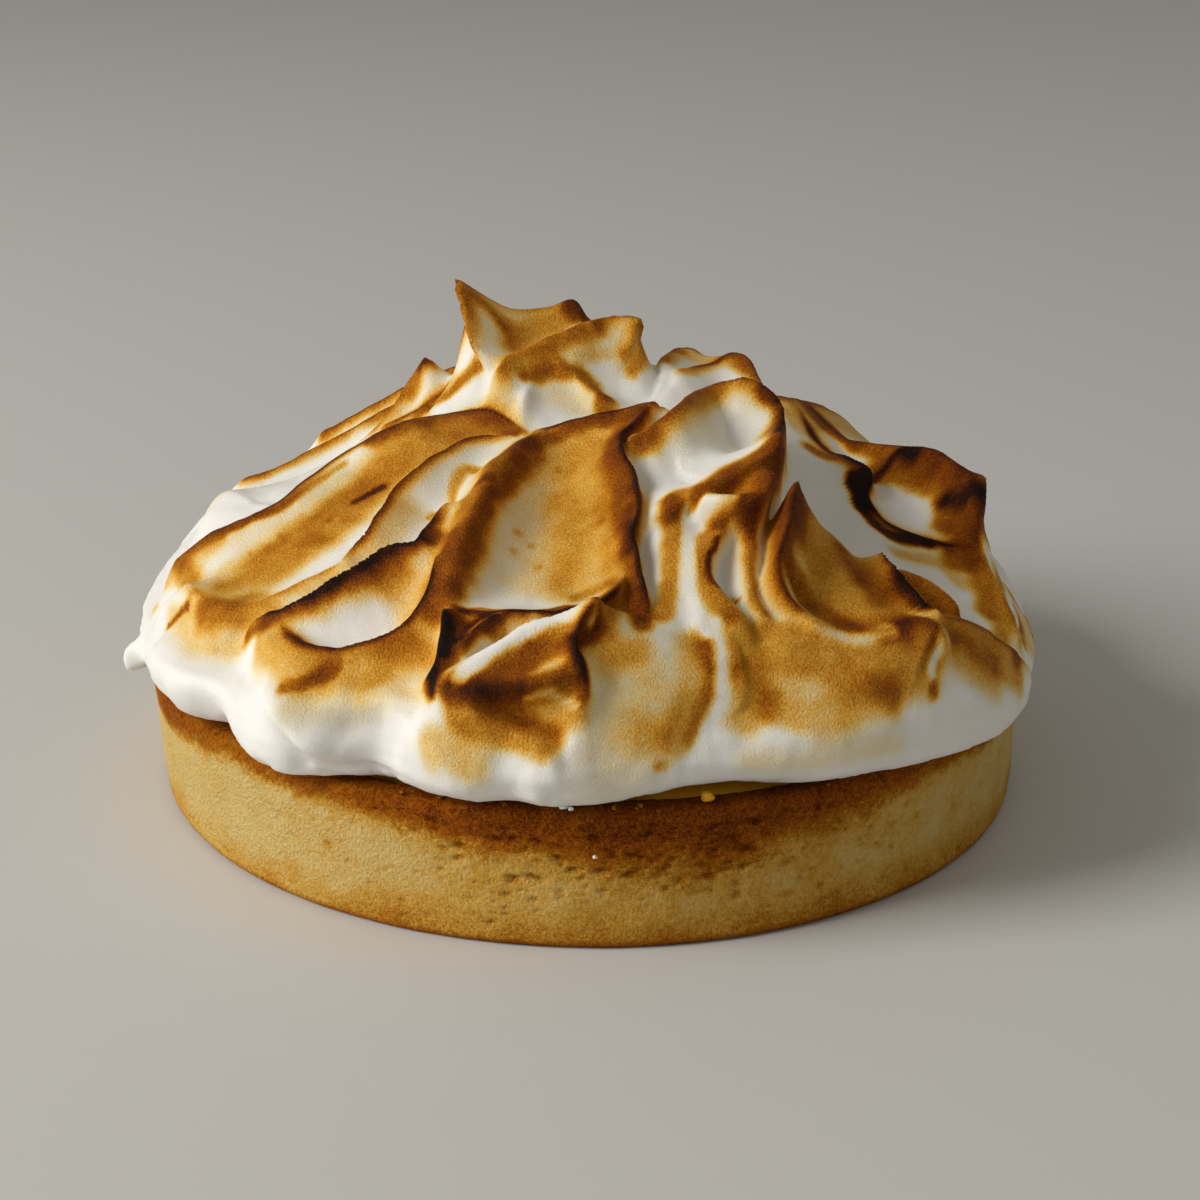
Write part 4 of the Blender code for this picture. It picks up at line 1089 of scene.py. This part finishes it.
    Stroke(((-11, 0.5), (-8, 3), (-5, 5), (-2, 7), (2.5, 9)), 1.3, 0.36, 1),
    Stroke(((-7.5, 4), (-4, 5.5), (-1, 7)), 1.2, 0.22, 1),
    Stroke(((-11, 6), (-11.5, 2.5), (-16, 1)), 0.8, -0.8, 0.7),
    Stroke(((-10, 5), (-11.5, 0.5)), 1.4, 0.24, 1.2),
    Stroke(((-19.5, 8), (-22.5, 6.5), (-26, 6), (-29, 5.5)), 0.8, -0.8, 0.7),
    Stroke(((-2.5, 11.5), (-1.5, 12)), 1.3, 0.7, 0.6),
    Stroke(((1.5, 9), (5, 9.5), (5.5, 10.5), (6, 7.5), (5, 6)), 1.3, 0.46, 0.8),
    Stroke(((-21.5, 8.5), (-24, 8), (-27, 6.5), (-28.5, -5.5)), 2, 0.46, 1.2),
    Stroke(((-18, 3.5), (-21.5, 5.5), (-25, -5), (-30, -5.5)), 1, 0.3, 1),
    Stroke(((-8, 1), (-6, 2.5), (-3.5, 3), (-0.5, 3), (2, 0.5)), 0.8, 0.5, 0.6),
    Stroke(((-4, 0.5), (-0.5, -1)), 2.6, 0.16, 1.6),
    Stroke(((2, -0.5), (2, -14.5)), 1.4, 0.52, 0.8),
    Stroke(((-2, 4.5), (1, 6), (3.5, 6.5)), 0.5, 0.25, 0.4),
)

# Skin x and y, reach, tone and edge of each single dab.
SPECKS = (
    (-37.5, -23.5, 1.6, 0.18, 1.2), (-42, -20.5, 0.4, 0.2, 0.4), (-35, -20.5, 0.4, 0.2, 0.4),
    (-46.5, -22, 0.35, 0.2, 0.35), (-39, -17.5, 0.3, 0.2, 0.3), (-4, -21.5, 0.35, 0.25, 0.35),
    (-2, -28.5, 0.3, 0.25, 0.3), (1, -33.5, 0.4, 0.2, 0.4), (-9, -34, 0.5, 0.28, 0.5),
    (-9.5, -37, 0.5, 0.25, 0.5), (-7.5, -35.5, 0.5, 0.25, 0.5), (-6.5, -39, 0.5, 0.25, 0.5),
    (21.5, -10.5, 0.55, 0.92, 0.35), (22.5, -12, 0.55, 0.92, 0.35), (22, -18, 0.55, 0.92, 0.35),
    (43, -50.5, 0.8, 0.55, 0.5), (3.5, 8, 1.6, -0.7, 1), (-21.5, 8.5, 1, 0.75, 0.6),
)


@dataclass
class Meringue:
    """The dome of meringue: a sculpted skin over a flat underside.

    Attributes:
        outline: Radius and height of the dome's outline, from the top to the underside.
        edge_waves: Steps of the lower edge.
        mounds: Soft lumps.
        folds: Folds of the front.
        strokes: Passes of the torch over the front.
        base: Height of the underside.
        base_ring: Size of the ring inside the lower edge that closes the underside.
        bulge_share: Share of an edge wave that the flank above the edge takes.
        bulge_span: Where the flank starts and ends to take it, up from the edge.
        lip_cells: Cells of the ragged edge round the dome.
        lip_ragged: How ragged the edge is.
        edge_fade: How far above the edge the folds start to sink.
        warp: How far noise moves the folds.
        warp_cell: Size of that noise's cells.
        ripple: Depth of the fine ripple all over.
        ripple_cell: Size of its cells.
        comb: Depth of the long ripples low on the flank.
        comb_cells: How many there are round the dome.
        comb_span: Skin length where they start and where they are full.
        blend_power: Power of the mean that joins the folds.
        far_reaches: Flank reaches beyond which a fold counts for nothing.
        margin: What is added to that, and to a pass of the torch.
        crossing: Width over which one flank becomes the other at the crest.
        burn_power: Steepness of the burnt line's sides.
        end_burn: How burnt the ends of a crest are, as a share of its middle.
        jitter: How far noise moves the torch's passes.
        jitter_cell: Size of that noise's cells.
        toast_knee: Tone above which passes add up more slowly.
        toast_pace: How much more slowly.
        mottle: Depth of the browning's mottle.
        mottle_cell: Size of its cells.
        lesser_share: Share of the lesser of passes and burnt crest that is added.
        grid_side: Points along each side of the skin's grid.
        burnt_favour: How much more finely burnt crests are meshed.
        front_favour: How much more finely the front is meshed.
        front_line: Y up to which the front goes.
        most_stretch: Stretch of the skin that the grid answers at most.
        crest_steps: Curve points between two knots of a crest.
        stroke_steps: Curve points between two knots of a pass.
        back_strokes: How many folds the back has.
        back_from: Angle of the first.
        back_step: Angle between two.
        back_twist: How far each turns on its way out.
        back_radii: Skin length at each knot of a back fold.
        back_lifts: Lift at each of these knots.
        back_sway: How far these lifts sway.
        back_aside: How far the torch's widest passes lie beside the crests.
        lip_turns: Angles of the knots of the lip that ends a back fold.
        lip_radii: Skin length at each of those knots.
        lip_lifts: Lift at each of those knots.
        skin: Skin length, radius and height along the outline.
    """

    outline: tuple = OUTLINE
    edge_waves: tuple = EDGE_WAVES
    mounds: tuple = MOUNDS
    folds: tuple = FOLDS
    strokes: tuple = STROKES + tuple(Stroke(((x, y),), *rest) for x, y, *rest in SPECKS)
    base: float = 19.3
    base_ring: float = 0.8
    bulge_share: float = 0.55
    bulge_span: tuple = (28.0, 9.0)
    lip_cells: int = 150
    lip_ragged: float = 1.1
    edge_fade: float = 8.0
    warp: float = 0.35
    warp_cell: float = 3.5
    ripple: float = 0.14
    ripple_cell: float = 2.6
    comb: float = 0.22
    comb_cells: int = 34
    comb_span: tuple = (57.0, 66.0)
    blend_power: float = 5.0
    far_reaches: float = 5.0
    margin: float = 2.0
    crossing: float = 0.8
    burn_power: float = 1.4
    end_burn: float = 0.45
    jitter: float = 0.7
    jitter_cell: float = 4.0
    toast_knee: float = 0.58
    toast_pace: float = 0.5
    mottle: float = 0.12
    mottle_cell: float = 2.2
    lesser_share: float = 0.2
    grid_side: int = 312
    burnt_favour: float = 1.2
    front_favour: float = 0.5
    front_line: float = 10.0
    most_stretch: float = 6.0
    crest_steps: int = 8
    stroke_steps: int = 5
    back_strokes: int = 6
    back_from: float = 4.0
    back_step: float = 23.0
    back_twist: float = 42.0
    back_radii: tuple = (15.0, 29.0, 43.0, 57.0)
    back_lifts: tuple = (4.5, 7.5, 7.5, 4.5)
    back_sway: float = 0.9
    back_aside: float = 4.2
    lip_turns: tuple = (0.0, -11.0, -21.0)
    lip_radii: tuple = (57.0, 61.5, 62.0)
    lip_lifts: tuple = (4.0, 3.6, 1.6)
    skin: tuple = field(init=False)

    def __post_init__(self) -> None:
        """Works out the outline as skin length from the top, radius and height."""
        mirrored = [(-self.outline[1][0], self.outline[1][1])] + list(self.outline)
        curve = smooth_curve(mirrored, 40)[40:]
        length = np.concatenate([[0.0], np.cumsum(np.hypot(*np.diff(curve, axis=0).T))])
        self.skin = (length, curve[:, 0], curve[:, 1])

    @property
    def skin_end(self) -> float:
        """Skin length from the top to the lower edge."""
        return float(self.skin[0][-1])

    def edge_shift(self, azimuth: np.ndarray) -> np.ndarray:
        """How far the lower edge stands out: a sum of bell curves round the dome."""
        shift = np.zeros_like(azimuth)
        for wave in self.edge_waves:
            away = (azimuth - wave.azimuth + 180.0) % 360.0 - 180.0
            shift += wave.out * np.exp(-((away / wave.width) ** 2))
        return shift

    def dome(self, x: np.ndarray, y: np.ndarray) -> tuple[np.ndarray, np.ndarray]:
        """The smooth dome under the folds.

        Args:
            x: Skin x.
            y: Skin y.

        Returns:
            Points, at the outline's radius and height for the skin length from the top, and
            the outward normals of that outline.
        """
        length, radii, heights = self.skin
        reach = np.hypot(x, y)
        angle = np.arctan2(y, x)
        shift = self.edge_shift(np.degrees(angle) + 90.0)
        bulge = smoothstep(reach, *(self.skin_end - span for span in self.bulge_span))
        lip = smoothstep(reach, self.skin_end - self.edge_fade, self.skin_end)
        radius = np.interp(reach, length, radii)
        radius = radius + shift * (self.bulge_share * bulge + (1.0 - self.bulge_share) * lip)
        around = (angle / (2.0 * math.pi) + 0.5) * self.lip_cells
        ragged = Grain(71, self.lip_cells, 11).layered(around, reach / 2.0, 3)
        radius = radius + self.lip_ragged * lip * (ragged - 0.5 * np.abs(ragged))
        height = np.interp(reach, length, heights)
        fore, back = reach + 0.5, np.maximum(reach - 0.5, 0.0)
        run = np.interp(fore, length, radii) - np.interp(back, length, radii)
        rise = np.interp(fore, length, heights) - np.interp(back, length, heights)
        size = np.hypot(run, rise)
        out, up = -rise / size, run / size
        points = np.stack([radius * np.cos(angle), radius * np.sin(angle), height], axis=-1)
        normals = np.stack([out * np.cos(angle), out * np.sin(angle), up], axis=-1)
        return points, normals

    def mound_lift(self, x: np.ndarray, y: np.ndarray) -> np.ndarray:
        """The soft lumps: each is its lift times exp(-(distance over reach) ** power)."""
        lift = np.zeros_like(x)
        for mound in self.mounds:
            turn = math.radians(mound.turn)
            across = ((x - mound.x) * math.cos(turn) + (y - mound.y) * math.sin(turn)) / mound.reach_x
            along = ((y - mound.y) * math.cos(turn) - (x - mound.x) * math.sin(turn)) / mound.reach_y
            lift += mound.lift * np.exp(-((across**2 + along**2) ** (mound.power / 2)))
        return lift

    def back_paths(self) -> list[tuple[list, list]]:
        """Knife strokes over the back and the lips that they end in.

        Stroke k runs out from near the top, turning by the twist as it goes. Its lip runs
        back along the lower edge. Lifts sway by a sine and shrink towards both ends of
        the row.

        Returns:
            For each stroke, the knots of its crest and those of its lip.
        """
        paths = []
        for k in range(self.back_strokes):
            start = self.back_from + self.back_step * k + 5.0 * math.sin(2.4 * k)
            share = 0.5 + 0.5 * math.sin(math.pi * (k + 0.5) / self.back_strokes)
            crest = []
            for step, (reach, lift) in enumerate(zip(self.back_radii, self.back_lifts)):
                turn = math.radians(start + self.back_twist * step / (len(self.back_radii) - 1))
                high = share * (lift + self.back_sway * math.sin(3.1 * k + step))
                crest.append((reach * math.cos(turn), reach * math.sin(turn), high))
            lip = []
            for back, reach, lift in zip(self.lip_turns, self.lip_radii, self.lip_lifts):
                turn = math.radians(start + self.back_twist + back)
                lip.append((reach * math.cos(turn), reach * math.sin(turn), share * lift))
            paths.append((crest, lip))
        return paths

    def back_folds(self) -> list[Fold]:
        """The strokes over the back and their lips as folds."""
        folds = []
        for k, (crest, lip) in enumerate(self.back_paths()):
            looks = {"right": 8.0, "left": 2.6, "softness": 0.2, "lean": 1.6, "char": 0.70, "burn": 0.9}
            folds.append(Fold(f"back_stroke_{k}", tuple(crest), **looks))
            looks = {"right": 2.6, "left": 4.0, "softness": 0.35, "lean": 0.4, "char": 0.42, "burn": 1.2}
            folds.append(Fold(f"back_lip_{k}", tuple(lip), **looks))
        return folds

    def back_passes(self) -> list[Stroke]:
        """The torch's passes over the back: along each stroke's long flank and its lip."""
        passes = []
        for k, (crest, lip) in enumerate(self.back_paths()):
            side = []
            for x, y, _ in crest[1:]:
                reach = math.hypot(x, y)
                turn = math.atan2(y, x) - self.back_aside / reach
                side.append((reach * math.cos(turn), reach * math.sin(turn)))
            wide = 3.2 + 0.6 * math.sin(1.7 * k)
            passes.append(Stroke(tuple(side), reach=wide, tone=0.34, edge=2.4))
            passes.append(Stroke(tuple((x, y) for x, y, _ in crest), reach=1.3, tone=0.40, edge=1.0))
            passes.append(Stroke(tuple((x, y) for x, y, _ in lip[:2]), reach=2.2, tone=0.36, edge=1.6))
        return passes

    def sculpt(self, x: np.ndarray, y: np.ndarray) -> tuple[np.ndarray, np.ndarray]:
        """The sculpted skin.

        Each fold lifts the skin along the dome's normal by its crest's lift times
        exp(-distance over flank reach). A power mean joins the folds, so that the highest
        leads, and a leaning crest slides the skin sideways. A burnt line follows each crest.

        Args:
            x: Skin x of the points.
            y: Skin y of the points.

        Returns:
            The points, and how burnt each is by the crests alone.
        """
        cell_x, cell_y = x / self.warp_cell + 30, y / self.warp_cell + 30
        warp_x = x + self.warp * Grain(41)(cell_x, cell_y)
        warp_y = y + self.warp * Grain(42)(cell_x, cell_y)
        total, slide_x, slide_y, burnt = (np.zeros(x.shape) for _ in range(4))
        for fold in list(self.folds) + self.back_folds():
            crest = smooth_curve(fold.path, self.crest_steps)
            reach = self.far_reaches * max(fold.right, fold.left) + self.margin
            low, high = crest[:, :2].min(0) - reach, crest[:, :2].max(0) + reach
            box = (warp_x > low[0]) & (warp_x < high[0]) & (warp_y > low[1]) & (warp_y < high[1])
            if not box.any():
                continue
            near = near_curve(warp_x[box], warp_y[box], crest)
            to_left = 0.5 + 0.5 * np.tanh(near.beside / self.crossing)
            flank = fold.right * (1.0 - to_left) + fold.left * to_left
            fall = np.sqrt((near.distance / flank) ** 2 + fold.softness**2) - fold.softness
            weight = np.exp(-fall)
            power = np.maximum(near.lift * weight, 0.0) ** self.blend_power
            total[box] += power
            slide_x[box] += power * fold.lean * weight**1.5 * near.left_x
            slide_y[box] += power * fold.lean * weight**1.5 * near.left_y
            off_end = np.sqrt(np.maximum(near.distance**2 - near.beside**2, 0.0))
            off_line = np.hypot(near.beside - fold.side, off_end)
            ends = smoothstep(np.minimum(near.share, 1.0 - near.share), -0.02, 0.12)
            strength = fold.char * (self.end_burn + (1.0 - self.end_burn) * ends)
            line = strength * np.exp(-((off_line / fold.burn) ** self.burn_power))
            burnt[box] = np.maximum(burnt[box], line)
        reach = np.hypot(x, y)
        fade = 1.0 - smoothstep(reach, self.skin_end - self.edge_fade, self.skin_end)
        slide = fade / (total + 1e-9)
        sweep = (np.arctan2(y, x) / (2.0 * math.pi) + 0.5) * self.comb_cells
        comb = self.comb * smoothstep(reach, *self.comb_span)
        comb = comb * Grain(73, self.comb_cells).layered(sweep, reach / 1.1, 2)
        points, normals = self.dome(x + slide_x * slide, y + slide_y * slide)
        cell_x, cell_y = x / self.ripple_cell + 40, y / self.ripple_cell + 40
        ripple = self.ripple * Grain(43).layered(cell_x, cell_y, 2)
        lift = (self.mound_lift(x, y) + total ** (1.0 / self.blend_power) + ripple + comb) * fade
        return points + normals * lift[..., None], burnt

    def torch(self, x: np.ndarray, y: np.ndarray, burnt: np.ndarray) -> np.ndarray:
        """How far the torch has browned each place, from 0 to 1.

        Args:
            x: Skin x of the points.
            y: Skin y of the points.
            burnt: How burnt the crests alone make each place.

        Returns:
            The passes of the torch, taken together as 1 - product of (1 - pass), at a
            slower pace above the knee, less the white streaks; then the greater of that
            and the burnt crests plus a share of the lesser.
        """
        bare, kept, most = np.ones(x.shape), np.ones(x.shape), np.zeros(x.shape)
        cell_x, cell_y = x / self.jitter_cell + 30, y / self.jitter_cell + 30
        jitter_x = x + self.jitter * Grain(51).layered(cell_x, cell_y, 3)
        jitter_y = y + self.jitter * Grain(52).layered(cell_x, cell_y, 3)
        for stroke in list(self.strokes) + self.back_passes():
            knots = np.array([(a, b, 0.0) for a, b in stroke.path])
            path = np.vstack([knots, knots + (0.01, 0, 0)])
            if len(knots) > 1:
                path = smooth_curve(knots, self.stroke_steps)
            outer = stroke.reach + stroke.edge + self.margin
            low, high = path[:, :2].min(0) - outer, path[:, :2].max(0) + outer
            box = (x > low[0]) & (x < high[0]) & (y > low[1]) & (y < high[1])
            away = near_curve(jitter_x[box], jitter_y[box], path).distance
            touch = 1.0 - smoothstep(away, stroke.reach - stroke.edge, stroke.reach + stroke.edge)
            if stroke.tone > 0:
                bare[box] *= 1.0 - stroke.tone * touch
                most[box] = np.maximum(most[box], stroke.tone * touch)
            else:
                kept[box] *= 1.0 + stroke.tone * touch
        knee = self.toast_knee
        many = np.where(1.0 - bare > knee, knee + self.toast_pace * (1.0 - bare - knee), 1.0 - bare)
        cell_x, cell_y = x / self.mottle_cell + 40, y / self.mottle_cell + 40
        mottle = 1.0 + self.mottle * Grain(53).layered(cell_x, cell_y, 3)
        passes = np.maximum(most, many) * kept * mottle
        lesser = self.lesser_share * np.minimum(passes, burnt)
        return np.clip(np.maximum(passes, burnt) + lesser, 0.0, 1.0)

    def disc_grid(self) -> tuple[np.ndarray, np.ndarray]:
        """Skin coordinates of a square grid bent into the dome's disc, ring by ring."""
        line = np.linspace(-1.0, 1.0, self.grid_side)
        a, b = np.meshgrid(line, line, indexing="ij")
        wide = np.abs(a) > np.abs(b)
        ring = np.where(wide, a, b)
        share = np.where(wide, b, a) / np.where(ring == 0.0, 1.0, ring)
        angle = np.where(wide, math.pi / 4 * share, math.pi / 2 - math.pi / 4 * share)
        return self.skin_end * ring * np.cos(angle), self.skin_end * ring * np.sin(angle)

    def even_grid(self, rounds: int = 3, sweeps: int = 40) -> tuple[np.ndarray, np.ndarray]:
        """A disc grid whose lines crowd where the folds stretch the skin.

        Args:
            rounds: Times that the stretch is measured.
            sweeps: Sweeps of averaging after each measure.

        Returns:
            Skin coordinates at which each point is the mean of its neighbours, weighted by
            how far the skin is stretched between them.
        """
        x, y = self.disc_grid()
        for _ in range(rounds):
            points, burnt = self.sculpt(x, y)
            front = points[..., 1] < self.front_line
            favour = 1.0 + self.burnt_favour * burnt + self.front_favour * front
            weights = []
            for axis in (0, 1):
                there = np.linalg.norm(np.diff(points, axis=axis), axis=-1)
                here = np.hypot(np.diff(x, axis=axis), np.diff(y, axis=axis)) + 1e-6
                ahead, behind = range(1, self.grid_side), range(self.grid_side - 1)
                mean = 0.5 * (favour.take(ahead, axis) + favour.take(behind, axis))
                weights.append(np.minimum(there / here, self.most_stretch) * mean)
            down, side = weights
            total = down[:-1, 1:-1] + down[1:, 1:-1] + side[1:-1, :-1] + side[1:-1, 1:]
            for _ in range(sweeps):
                for grid in (x, y):
                    mean = down[:-1, 1:-1] * grid[:-2, 1:-1] + down[1:, 1:-1] * grid[2:, 1:-1]
                    mean += side[1:-1, :-1] * grid[1:-1, :-2] + side[1:-1, 1:] * grid[1:-1, 2:]
                    grid[1:-1, 1:-1] = mean / total
        return x, y

    def build(self, finish: MeringueFinish) -> bpy.types.Object:
        """Meshes the skin, closes it with a flat underside and marks it with the torch.

        Args:
            finish: The meringue finish.

        Returns:
            The meringue.
        """
        side = self.grid_side
        x, y = self.even_grid()
        skin, burnt = self.sculpt(x, y)
        tone = self.torch(x, y, burnt)
        index = np.arange(side * side).reshape(side, side)
        quads = np.stack([index[:-1, :-1], index[1:, :-1], index[1:, 1:], index[:-1, 1:]], -1)
        border = np.concatenate([index[:-1, 0], index[-1, :-1], index[:0:-1, -1], index[0, :0:-1]])
        skin = skin.reshape(-1, 3)
        inner = skin[border] * (self.base_ring, self.base_ring, 1.0)
        count = len(border)
        here, after = np.arange(count), (np.arange(count) + 1) % count
        centre = np.full(count, len(skin) + count)
        ring = np.stack([border[after], border[here], len(skin) + here, len(skin) + after], -1)
        fan = np.stack([len(skin) + after, len(skin) + here, centre, centre], -1)
        points = np.vstack([skin, inner, [(0.0, 0.0, self.base)]])
        marks = {"torch": np.concatenate([tone.ravel(), np.zeros(count + 1)])}
        quads = np.vstack([quads.reshape(-1, 4), ring, fan])
        return make_piece("meringue_skin", points, quads, finish.make(), marks)


# ---- Crumbs ------------------------------------------------------------------


def ball(rings: int, segments: int) -> tuple[np.ndarray, np.ndarray, np.ndarray]:
    """The points of a unit ball, ring by ring and then its two poles.

    Args:
        rings: Rings between the poles.
        segments: Points in each ring.

    Returns:
        The points, and the elevation and turn of those in the rings.
    """
    tilt = (np.arange(rings) + 1) / (rings + 1) * math.pi - math.pi / 2
    turn = np.arange(segments) * 2 * math.pi / segments
    up, around = (grid.ravel() for grid in np.meshgrid(tilt, turn, indexing="ij"))
    points = np.stack([np.cos(up) * np.cos(around), np.cos(up) * np.sin(around), np.sin(up)], -1)
    return np.vstack([points, [(0, 0, -1), (0, 0, 1)]]), up, around


@dataclass(frozen=True)
class Crumb:
    """A crumb: its name, place, size, finish slot and how far it is squashed."""

    name: str
    place: tuple
    size: float
    slot: Slot
    squash: float = 0.8

    def build(self, material: bpy.types.Material) -> bpy.types.Object:
        """A ball of rings whose radius is jittered by noise.

        Args:
            material: The finish.

        Returns:
            The crumb.
        """
        rings, segments = 14, 24
        points, up, around = ball(rings, segments)
        points *= (1.0, 1.0, self.squash)
        bump = 1.0 + 0.22 * Grain(61, segments, 19)(around / (2 * math.pi) * segments / 3, up * 2.0 + 7)
        points[:-2] *= bump[:, None]
        points *= self.size
        marks = {"torch": np.zeros(len(points)), "bake_and_painted_shade": np.full(len(points), 0.25)}
        return make_piece(self.name, points + self.place, turned_quads(rings, segments), material, marks)


@dataclass
class CrumbScatter:
    """Many small crumbs of crust along the rim where the meringue ends, as one piece.

    Attributes:
        name: The piece's name.
        count: How many crumbs.
        seed: Seed of the random draw.
        rim: Least and greatest distance from the axis.
        level: Height of the rim under the crumbs.
        sizes: Least and greatest crumb radius.
    """

    name: str = "seam_crumbs"
    count: int = 170
    seed: int = 29
    rim: tuple = (58.6, 60.9)
    level: float = 18.75
    sizes: tuple = (0.13, 0.42)

    def build(self, material: bpy.types.Material) -> bpy.types.Object:
        """Rough balls of four rings of seven points, each turned and stretched at random.

        Args:
            material: The shortcrust finish.

        Returns:
            The crumbs.
        """
        draw = np.random.default_rng(self.seed)
        rings, segments = 4, 7
        unit = ball(rings, segments)[0]
        quads = turned_quads(rings, segments)
        points, faces = [], []
        for k in range(self.count):
            size = self.sizes[0] + (self.sizes[1] - self.sizes[0]) * draw.random() ** 2.5
            spin = draw.uniform(0, 2 * math.pi)
            stretch = draw.uniform(0.7, 1.2, 3) * (1, 1, 0.8)
            grain = unit * draw.uniform(0.72, 1.18, (len(unit), 1)) * stretch * size
            across = grain[:, 0] * math.cos(spin) - grain[:, 1] * math.sin(spin)
            along = grain[:, 0] * math.sin(spin) + grain[:, 1] * math.cos(spin)
            azimuth, reach = draw.uniform(0, 2 * math.pi), draw.uniform(*self.rim)
            low = self.level + 0.6 * size - 0.5 * max(reach - 60.0, 0.0) ** 2
            place = (reach * math.cos(azimuth), reach * math.sin(azimuth), low)
            points.append(np.stack([across, along, grain[:, 2]], -1) + place)
            faces.append(quads + k * len(unit))
        marks = {"bake_and_painted_shade": np.repeat(draw.uniform(0.35, 0.85, self.count), len(unit))}
        return make_piece(self.name, np.vstack(points), np.vstack(faces), material, marks)


# ---- Studio ------------------------------------------------------------------


@dataclass(frozen=True)
class Lamp:
    """A square area light: name, place and aim in metres, side, power and colour."""

    name: str
    place: tuple
    aim: tuple
    size: float
    power: float
    tint: tuple

    def build(self) -> None:
        """Hangs the light at its place, turned to its aim."""
        light = bpy.data.lights.new(self.name, "AREA")
        light.energy = self.power
        light.size = self.size
        light.color = self.tint
        lamp = bpy.data.objects.new(self.name, light)
        lamp.location = self.place
        turn = (Vector(self.aim) - Vector(self.place)).to_track_quat("-Z", "Y")
        lamp.rotation_euler = turn.to_euler()
        bpy.context.scene.collection.objects.link(lamp)


LAMPS = (
    Lamp("key", (-1.0, -0.40, 0.74), (0.0, 0.0, 0.03), 0.55, 12.3, (1.0, 0.97, 0.93)),
    Lamp("side", (-1.0, -0.28, 0.16), (0.0, 0.0, 0.01), 0.40, 2.2, (1.0, 0.98, 0.95)),
    Lamp("fill", (0.9, -0.9, 0.8), (0.0, 0.0, 0.03), 1.2, 0.7, (1.0, 0.96, 0.88)),
)


@dataclass
class Studio:
    """Floor, lights and camera.

    Attributes:
        lens: Focal length.
        sensor: Width of the sensor.
        eye: Place of the camera.
        pitch: Degrees that it looks down.
        roll: Degrees that it is turned about its line of sight.
        floor_half: Half the side of the floor, in metres.
        lamps: The lights.
        surround: Colour of the surround.
        surround_strength: Brightness of the surround.
    """

    lens: float = 72.0
    sensor: float = 36.0
    eye: tuple = (1.337, -318.146, 141.316)
    pitch: float = 20.385
    roll: float = 0.52
    floor_half: float = 3.0
    lamps: tuple = LAMPS
    surround: tuple = (1.0, 0.95, 0.83, 1.0)
    surround_strength: float = 0.25

    def floor(self, finish: FloorFinish) -> bpy.types.Object:
        """A large flat square, just under the tart."""
        half = self.floor_half / MM
        points = np.array([(-half, -half, 0), (half, -half, 0), (half, half, 0), (-half, half, 0)])
        return make_piece("floor", points, np.array([[0, 1, 2, 3]]), finish.make())

    def light(self) -> None:
        """A large soft key and a low side light from the left, a weak fill and a grey surround."""
        for lamp in self.lamps:
            lamp.build()
        world = bpy.data.worlds.new("surround")
        world.use_nodes = True
        background = world.node_tree.nodes["Background"]
        background.inputs["Color"].default_value = self.surround
        background.inputs["Strength"].default_value = self.surround_strength
        bpy.context.scene.world = world
        bpy.context.scene.view_settings.view_transform = "Standard"

    def camera(self) -> None:
        """A long-lens camera that looks down at the tart by the pitch."""
        data = bpy.data.cameras.new("camera")
        data.lens = self.lens
        data.sensor_width = self.sensor
        data.clip_start = 0.01
        camera = bpy.data.objects.new("camera", data)
        turn = Matrix.Rotation(math.radians(90.0 - self.pitch), 4, "X")
        turn = turn @ Matrix.Rotation(math.radians(self.roll), 4, "Z")
        camera.matrix_world = Matrix.Translation(Vector(self.eye) * MM) @ turn
        bpy.context.scene.collection.objects.link(camera)
        bpy.context.scene.camera = camera


# ---- Assembly ----------------------------------------------------------------

CRUMBS = (
    Crumb("crumb_1", (-2.8, -60.2, 19.35), 0.5, Slot.MERINGUE, 0.7),
    Crumb("crumb_2", (-1.9, -60.6, 19.25), 0.32, Slot.MERINGUE, 0.8),
    Crumb("crumb_3", (14.4, -57.2, 19.35), 0.75, Slot.CURD, 0.8),
    Crumb("crumb_4", (1, -61.2, 13.2), 0.26, Slot.MERINGUE, 0.8),
)


def dress(piece: bpy.types.Object, slot: Slot, node: str | None = None) -> None:
    """Attaches a piece to its body, hides the solid that it stands for, and logs its faces and its material
    slot.

    Args:
        piece: The piece.
        slot: The record's slot.
        node: The solid that the piece replaces, if it does.
    """
    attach(piece, BODY)
    if node is not None:
        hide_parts(node)
    LOG.info("%s: %d faces in slot %s", piece.name, len(piece.data.polygons), slot.value)


def main() -> None:
    """Builds the tart's pieces in order, then the studio."""
    logging.basicConfig(level=logging.INFO)
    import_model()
    shell = CrustShell().build(CrustFinish())
    dress(shell, Slot.CRUST, "crust")
    curd = LemonCurd().build(CurdFinish())
    dress(curd, Slot.CURD, "lemon_curd")
    meringue = Meringue().build(MeringueFinish())
    dress(meringue, Slot.MERINGUE, "meringue")
    sources = {Slot.CRUST: shell, Slot.CURD: curd, Slot.MERINGUE: meringue}
    dress(CrumbScatter().build(shell.data.materials[0]), Slot.CRUST)
    for crumb in CRUMBS:
        dress(crumb.build(sources[crumb.slot].data.materials[0]), crumb.slot)
    studio = Studio()
    studio.floor(FloorFinish())
    studio.light()
    studio.camera()


if __name__ == "__main__":
    main()
